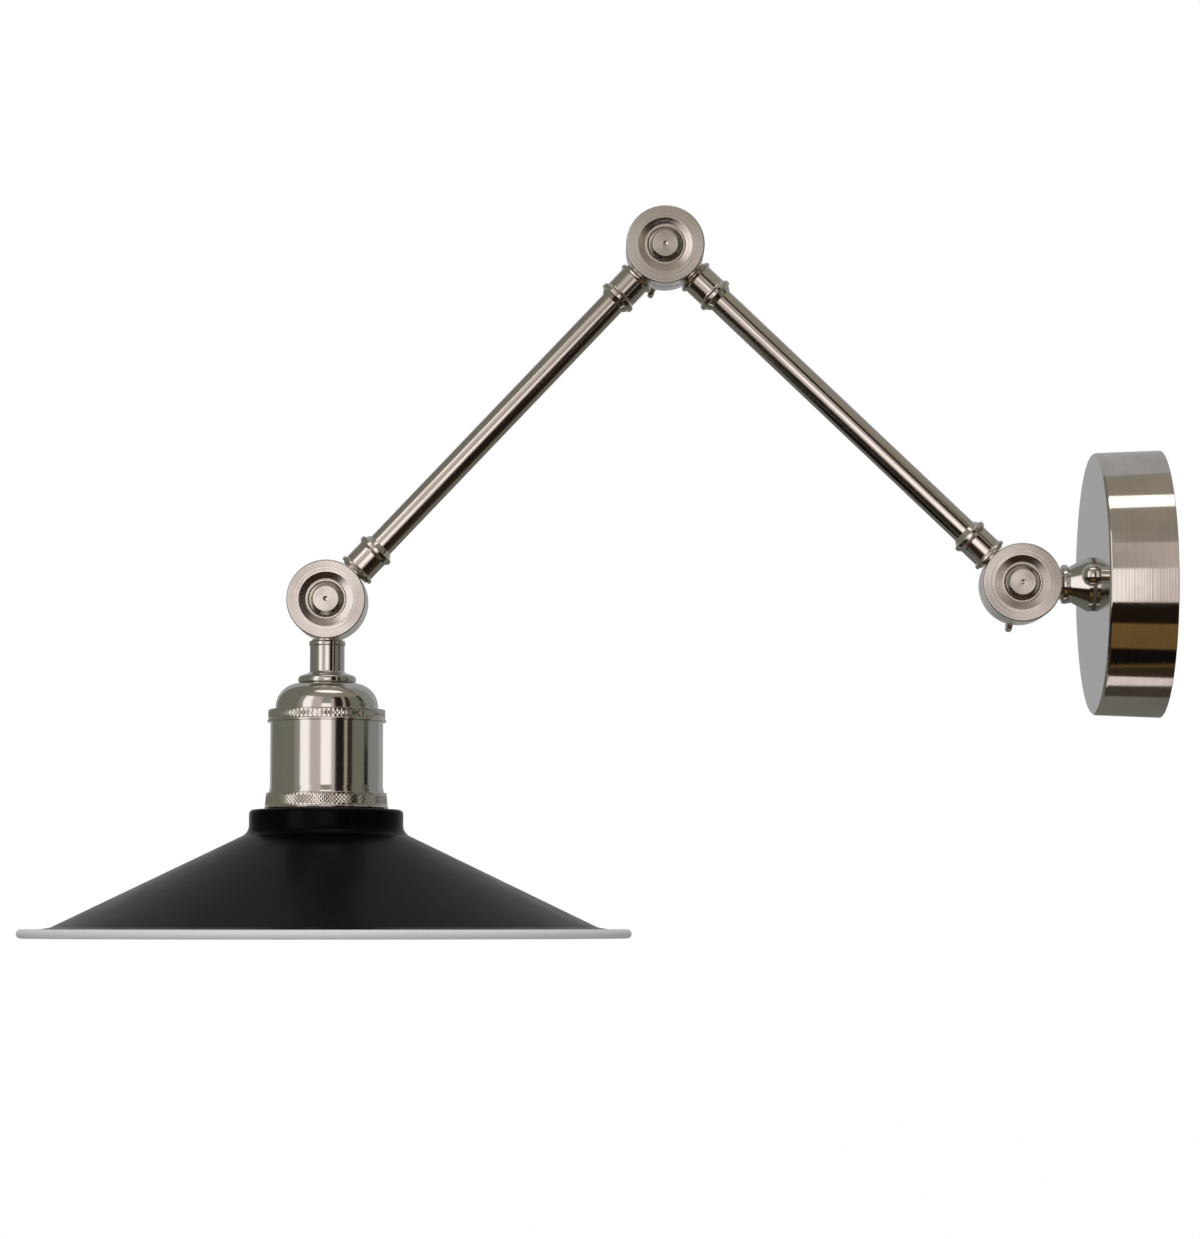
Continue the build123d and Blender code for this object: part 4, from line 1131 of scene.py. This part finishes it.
def make_screw_shell(sizes):
    """Thin shell with its thread, and the plate at its top."""
    top, foot = drop_top("screw_shell"), drop_foot("screw_shell")
    around, rows = 96, 90
    wall, plate, hole = 0.45 * MM, 0.6 * MM, 7.0 * MM
    inside = []
    outside = []
    for row in range(rows + 1):
        height = top + plate + (foot - top - plate) * row / rows
        fade = min(1.0, (height - top) / (2 * MM), (foot - height) / (1.5 * MM))
        inner, outer = [], []
        for column in range(around):
            angle = 2 * math.pi * column / around
            wave = math.sin(2 * math.pi * height / sizes.thread_pitch - angle)
            radius = sizes.screw_radius - sizes.thread_depth * fade * (0.5 + 0.5 * wave)
            inner.append((radius * math.cos(angle), radius * math.sin(angle), height))
            outer.append(((radius + wall) * math.cos(angle), (radius + wall) * math.sin(angle), height))
        inside.append(inner)
        outside.append(outer)
    form = Form()
    form.loft(inside + outside[::-1], closed=True)
    edge = sizes.screw_radius + wall
    disc = [(hole, top), (edge, top), (edge, top + 0.8 * MM), (hole, top + 0.5 * MM)]
    form.turn(disc, closed=True, around=around)
    place = standing(SHADE_PIVOT, DOWN)
    form.fit("lamp_screw_shell", "holder", "screw_shell", place, ("brass",), "brass")


# ---------- hardware kept from the frame
EDGES = {"wall_bracket": 0.3 * MM}
EDGES.update(dict.fromkeys(("stud_lock_nuts", "swivel_nuts", "shade_clamp_ring"), 0.25 * MM))
SLOT_FINISHES = {"nickel": "satin_nickel", "shade_enamel": "black_enamel"}


class WALLLAMP_OT_hardware(bpy.types.Operator):
    """Finish the bracket, studs, washers, nuts, leads and contacts that the frame already has"""

    bl_idname = "wall_lamp.hardware"
    bl_label = "Hardware"

    def execute(self, context):
        slots = {row["node"]: row["material_slot"] for row in frame["record"]["subparts"]}
        for node, piece in frame["nodes"].items():
            if not piece.hide_render:
                slot = slots[node]
                refinish(node, SLOT_FINISHES.get(slot, slot), EDGES.get(node, 0.0))
        return {"FINISHED"}


# ---------- stage
LAMP_MIDDLE = Vector((0, -0.2, 0))
CARD_DISTANCE = 2.0
WHITE = (1.0, 1.0, 1.0, 1.0)
PHOTO_WIDTH = 1200
FOCAL_PIXELS = 3703.1
CAMERA_PLACE = (1.5455, -0.23424, -0.14189)
CAMERA_PITCH = 4.701
# name, azimuth from the camera's side towards the wall, elevation, colour, nearness
CARDS = (
    ("back_wall", (140, 220), (-8, 75), (0.42, 0.42, 0.43), 1.0),
    ("back_low", (98, 262), (-60, -8), (0.17, 0.17, 0.15), 1.0),
    ("back_left", (220, 262), (-8, 75), (0.20, 0.20, 0.17), 1.0),
    ("back_right", (98, 140), (-8, 75), (0.30, 0.30, 0.29), 1.0),
    ("left_wall", (-98, -66), (-20, 75), (0.21, 0.205, 0.17), 1.0),
    ("left_near", (-66, -54), (-20, 39), (0.33, 0.32, 0.28), 1.0),
    ("left_near_top", (-66, -54), (39, 75), (0.21, 0.205, 0.17), 1.0),
    ("left_softbox", (-54, -36), (-20, 39), (1.4, 1.31, 1.33), 0.98),
    ("left_edge", (-36, -33), (-20, 39), (1.0, 0.92, 0.93), 0.98),
    ("left_gap", (-33, -12), (-20, 39), (0.66, 0.57, 0.55), 1.0),
    ("front_softbox", (-12, 9), (-20, 8), (1.4, 1.31, 1.33), 0.98),
    ("front_upper", (-12, 9), (8, 39), (0.36, 0.335, 0.29), 0.98),
    ("front_edge", (9, 17), (-20, 30), (0.62, 0.53, 0.50), 1.0),
    ("front_top", (9, 17), (30, 39), (0.33, 0.29, 0.25), 1.0),
    ("black_flag", (17, 37), (-20, 39), (0.012, 0.010, 0.010), 1.0),
    ("tan_card", (37, 43), (-20, 39), (0.50, 0.43, 0.35), 1.0),
    ("brown_card", (43, 55), (-20, 39), (0.035, 0.018, 0.015), 1.0),
    ("right_wall", (55, 86), (-20, 39), (0.20, 0.205, 0.165), 1.0),
    ("dark_post", (86, 98), (-20, 39), (0.02, 0.018, 0.015), 1.0),
    ("ceiling", (-54, 98), (39, 90), (0.31, 0.28, 0.23), 1.02),
    ("ceiling_left", (-98, -54), (75, 90), (0.31, 0.28, 0.23), 1.02),
    ("ceiling_back", (98, 262), (75, 90), (0.31, 0.28, 0.23), 1.02),
    ("dark_floor", (-98, 98), (-38, -20), (0.015, 0.008, 0.006), 1.0),
    ("brown_floor", (-98, 98), (-90, -38), (0.04, 0.027, 0.016), 1.0),
    ("golden_rug", (-25, 45), (-90, -38), (0.17, 0.10, 0.035), 0.985),
    ("black_rug", (-12, 40), (-86, -60), (0.006, 0.005, 0.005), 0.97),
    ("light_strip", (98, 262), (-82, -74), (0.9, 0.8, 0.8), 1.0),
    ("dark_back_floor", (98, 262), (-90, -82), (0.02, 0.015, 0.012), 1.0),
    ("dark_skirting", (98, 262), (-74, -60), (0.06, 0.05, 0.045), 1.0),
)


class WALLLAMP_OT_stage(bpy.types.Operator):
    """Set the floor, the reflection cards, the lights, the white surround and the camera"""

    bl_idname = "wall_lamp.stage"
    bl_label = "Stage"

    def execute(self, context):
        settings = context.scene.wall_lamp.stage
        make_floor(settings.floor_level)
        for name, azimuths, elevations, tone, nearness in CARDS:
            make_card(name, azimuths, elevations, tone, CARD_DISTANCE * nearness)
        make_overhead_strip()
        make_light("key_light", (0.5, -0.2, 1.9), settings.key_power, 1.6)
        make_light("front_light", (2.2, -0.9, 0.7), settings.front_power, 1.4)
        make_world(settings.fill)
        make_camera()
        context.scene.view_settings.view_transform = "Standard"
        return {"FINISHED"}


def direction(azimuth, elevation):
    """Unit vector from the lamp; azimuth 0 is the camera's side and 90 the wall."""
    a, e = math.radians(azimuth), math.radians(elevation)
    return Vector((math.cos(e) * math.cos(a), math.cos(e) * math.sin(a), math.sin(e)))


def bare_tree(block):
    """Empty node tree of a material or a world."""
    block.use_nodes = True
    block.node_tree.nodes.clear()
    return block.node_tree


def glow(name, tone):
    """Evenly lit surface of the stage."""
    material = bpy.data.materials.new(name)
    tree = bare_tree(material)
    light = link(tree, "ShaderNodeEmission", {"Color": (*tone, 1.0), "Strength": 1.0})
    link(tree, "ShaderNodeOutputMaterial", {"Surface": light.outputs["Emission"]})
    return material


def stage_piece(name, points, faces, material):
    """Object of the stage."""
    mesh = bpy.data.meshes.new(name)
    mesh.from_pydata(points, [], faces)
    mesh.materials.append(material)
    piece = bpy.data.objects.new(name, mesh)
    bpy.context.scene.collection.objects.link(piece)
    return piece


def staged(name, points, faces, material):
    """Stage object that only shiny surfaces see."""
    card = stage_piece(name, points, faces, material)
    card.visible_camera = False
    card.visible_diffuse = False
    card.visible_shadow = False


def make_card(name, azimuths, elevations, tone, distance):
    """Curved card between two azimuths and two elevations."""
    across = max(2, round(abs(azimuths[1] - azimuths[0]) / 6))
    upward = max(2, round(abs(elevations[1] - elevations[0]) / 6))
    points = []
    for row in range(upward + 1):
        elevation = elevations[0] + (elevations[1] - elevations[0]) * row / upward
        for column in range(across + 1):
            azimuth = azimuths[0] + (azimuths[1] - azimuths[0]) * column / across
            points.append(LAMP_MIDDLE + distance * direction(azimuth, elevation))
    faces = []
    for row in range(upward):
        for column in range(across):
            a = row * (across + 1) + column
            faces.append([a, a + 1, a + across + 2, a + across + 1])
    staged(name, points, faces, glow(name, tone))


def make_overhead_strip():
    """Long softbox over the lamp, along the wall's normal."""
    height = 1.8
    near, far = 0.44, 0.94
    points = [(near, -1.4, height), (far, -1.4, height), (far, 0.8, height), (near, 0.8, height)]
    staged("overhead_softbox", points, [[0, 1, 2, 3]], glow("overhead_softbox", (1.7, 1.65, 1.6)))


def make_light(name, position, power, size):
    """Square soft light aimed at the lamp."""
    data = bpy.data.lights.new(name, "AREA")
    data.energy = power
    data.size = size
    light = bpy.data.objects.new(name, data)
    light.location = position
    light.rotation_euler = (LAMP_MIDDLE - Vector(position)).to_track_quat("-Z", "Y").to_euler()
    light.visible_glossy = False
    bpy.context.scene.collection.objects.link(light)


def make_floor(level):
    """Pale floor: white to the camera, with a share of its own shading that keeps the shadow."""
    material = bpy.data.materials.new("pale_floor")
    tree = bare_tree(material)
    camera_ray = tree.nodes.new("ShaderNodeLightPath").outputs["Is Camera Ray"]
    paint = link(tree, "ShaderNodeBsdfDiffuse", {"Color": (0.92, 0.92, 0.92, 1.0)})
    white = link(tree, "ShaderNodeEmission", {"Color": WHITE, "Strength": 1.13})
    part = reckoned(tree, "MULTIPLY", camera_ray, 0.8)
    blend = link(tree, "ShaderNodeMixShader", {0: part, 1: paint.outputs[0], 2: white.outputs[0]})
    link(tree, "ShaderNodeOutputMaterial", {"Surface": blend.outputs[0]})
    half = 40.0
    corners = [(-half, -half, 0), (half, -half, 0), (half, half, 0), (-half, half, 0)]
    floor = stage_piece("floor", corners, [[0, 1, 2, 3]], material)
    floor.location.z = level


def make_world(fill):
    """Even light all round, white to the camera and to shiny surfaces."""
    world = bpy.data.worlds.new("white_studio")
    tree = bare_tree(world)
    path = tree.nodes.new("ShaderNodeLightPath").outputs
    seen = reckoned(tree, "MAXIMUM", path["Is Camera Ray"], path["Is Glossy Ray"])
    shown = reckoned(tree, "MAXIMUM", seen, path["Is Transmission Ray"])
    even = link(tree, "ShaderNodeBackground", {"Color": WHITE, "Strength": fill})
    white = link(tree, "ShaderNodeBackground", {"Color": WHITE, "Strength": 1.0})
    blend = link(tree, "ShaderNodeMixShader", {0: shown, 1: even.outputs[0], 2: white.outputs[0]})
    link(tree, "ShaderNodeOutputWorld", {"Surface": blend.outputs[0]})
    bpy.context.scene.world = world


def make_camera():
    """Camera at the photograph's viewing angle, for an image as wide as the photograph."""
    data = bpy.data.cameras.new("photo_camera")
    data.sensor_fit = "HORIZONTAL"
    data.sensor_width = 36.0
    data.lens = FOCAL_PIXELS / PHOTO_WIDTH * data.sensor_width
    camera = bpy.data.objects.new("photo_camera", data)
    camera.location = CAMERA_PLACE
    camera.rotation_euler = (math.radians(90 + CAMERA_PITCH), 0, math.radians(90))
    bpy.context.scene.collection.objects.link(camera)
    bpy.context.scene.camera = camera


# ---------- panel and registration
class WALLLAMP_PT_panel(bpy.types.Panel):
    """Sizes, finishes and the operators of the wall lamp"""

    bl_idname = "WALLLAMP_PT_panel"
    bl_label = "Wall lamp"
    bl_space_type = "VIEW_3D"
    bl_region_type = "UI"
    bl_category = "Wall lamp"

    def draw(self, context):
        lamp = context.scene.wall_lamp
        for name in ("canopy", "swivel", "knuckle", "wing_nut", "arm", "holder", "shade", "finish", "stage"):
            box = self.layout.box()
            box.label(text=name.replace("_", " ").capitalize())
            group = getattr(lamp, name)
            for key in group.__annotations__:
                box.prop(group, key)
        for operator in OPERATORS:
            self.layout.operator(operator.bl_idname)


GROUPS = (
    CanopySizes,
    SwivelSizes,
    KnuckleSizes,
    WingNutSizes,
    ArmSizes,
    HolderSizes,
    ShadeSizes,
    Finishes,
    StageSettings,
    LampSettings,
)
OPERATORS = (
    WALLLAMP_OT_canopy,
    WALLLAMP_OT_swivel,
    WALLLAMP_OT_knuckles,
    WALLLAMP_OT_wing_nuts,
    WALLLAMP_OT_arms,
    WALLLAMP_OT_lampholder,
    WALLLAMP_OT_shade,
    WALLLAMP_OT_lamp_socket,
    WALLLAMP_OT_hardware,
    WALLLAMP_OT_stage,
)


def register():
    """Registers the sizes, the operators and the panel."""
    for kind in (*GROUPS, *OPERATORS, WALLLAMP_PT_panel):
        bpy.utils.register_class(kind)
    bpy.types.Scene.wall_lamp = PointerProperty(type=LampSettings)


def unregister():
    """Takes them away again."""
    del bpy.types.Scene.wall_lamp
    for kind in reversed((*GROUPS, *OPERATORS, WALLLAMP_PT_panel)):
        bpy.utils.unregister_class(kind)


def main():
    """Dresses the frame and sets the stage."""
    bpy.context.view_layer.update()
    register()
    bpy.ops.wall_lamp.canopy()
    bpy.ops.wall_lamp.swivel()
    bpy.ops.wall_lamp.knuckles()
    bpy.ops.wall_lamp.wing_nuts()
    bpy.ops.wall_lamp.arms()
    bpy.ops.wall_lamp.lampholder()
    bpy.ops.wall_lamp.shade()
    bpy.ops.wall_lamp.lamp_socket()
    bpy.ops.wall_lamp.hardware()
    bpy.ops.wall_lamp.stage()


if __name__ == "__main__":
    main()
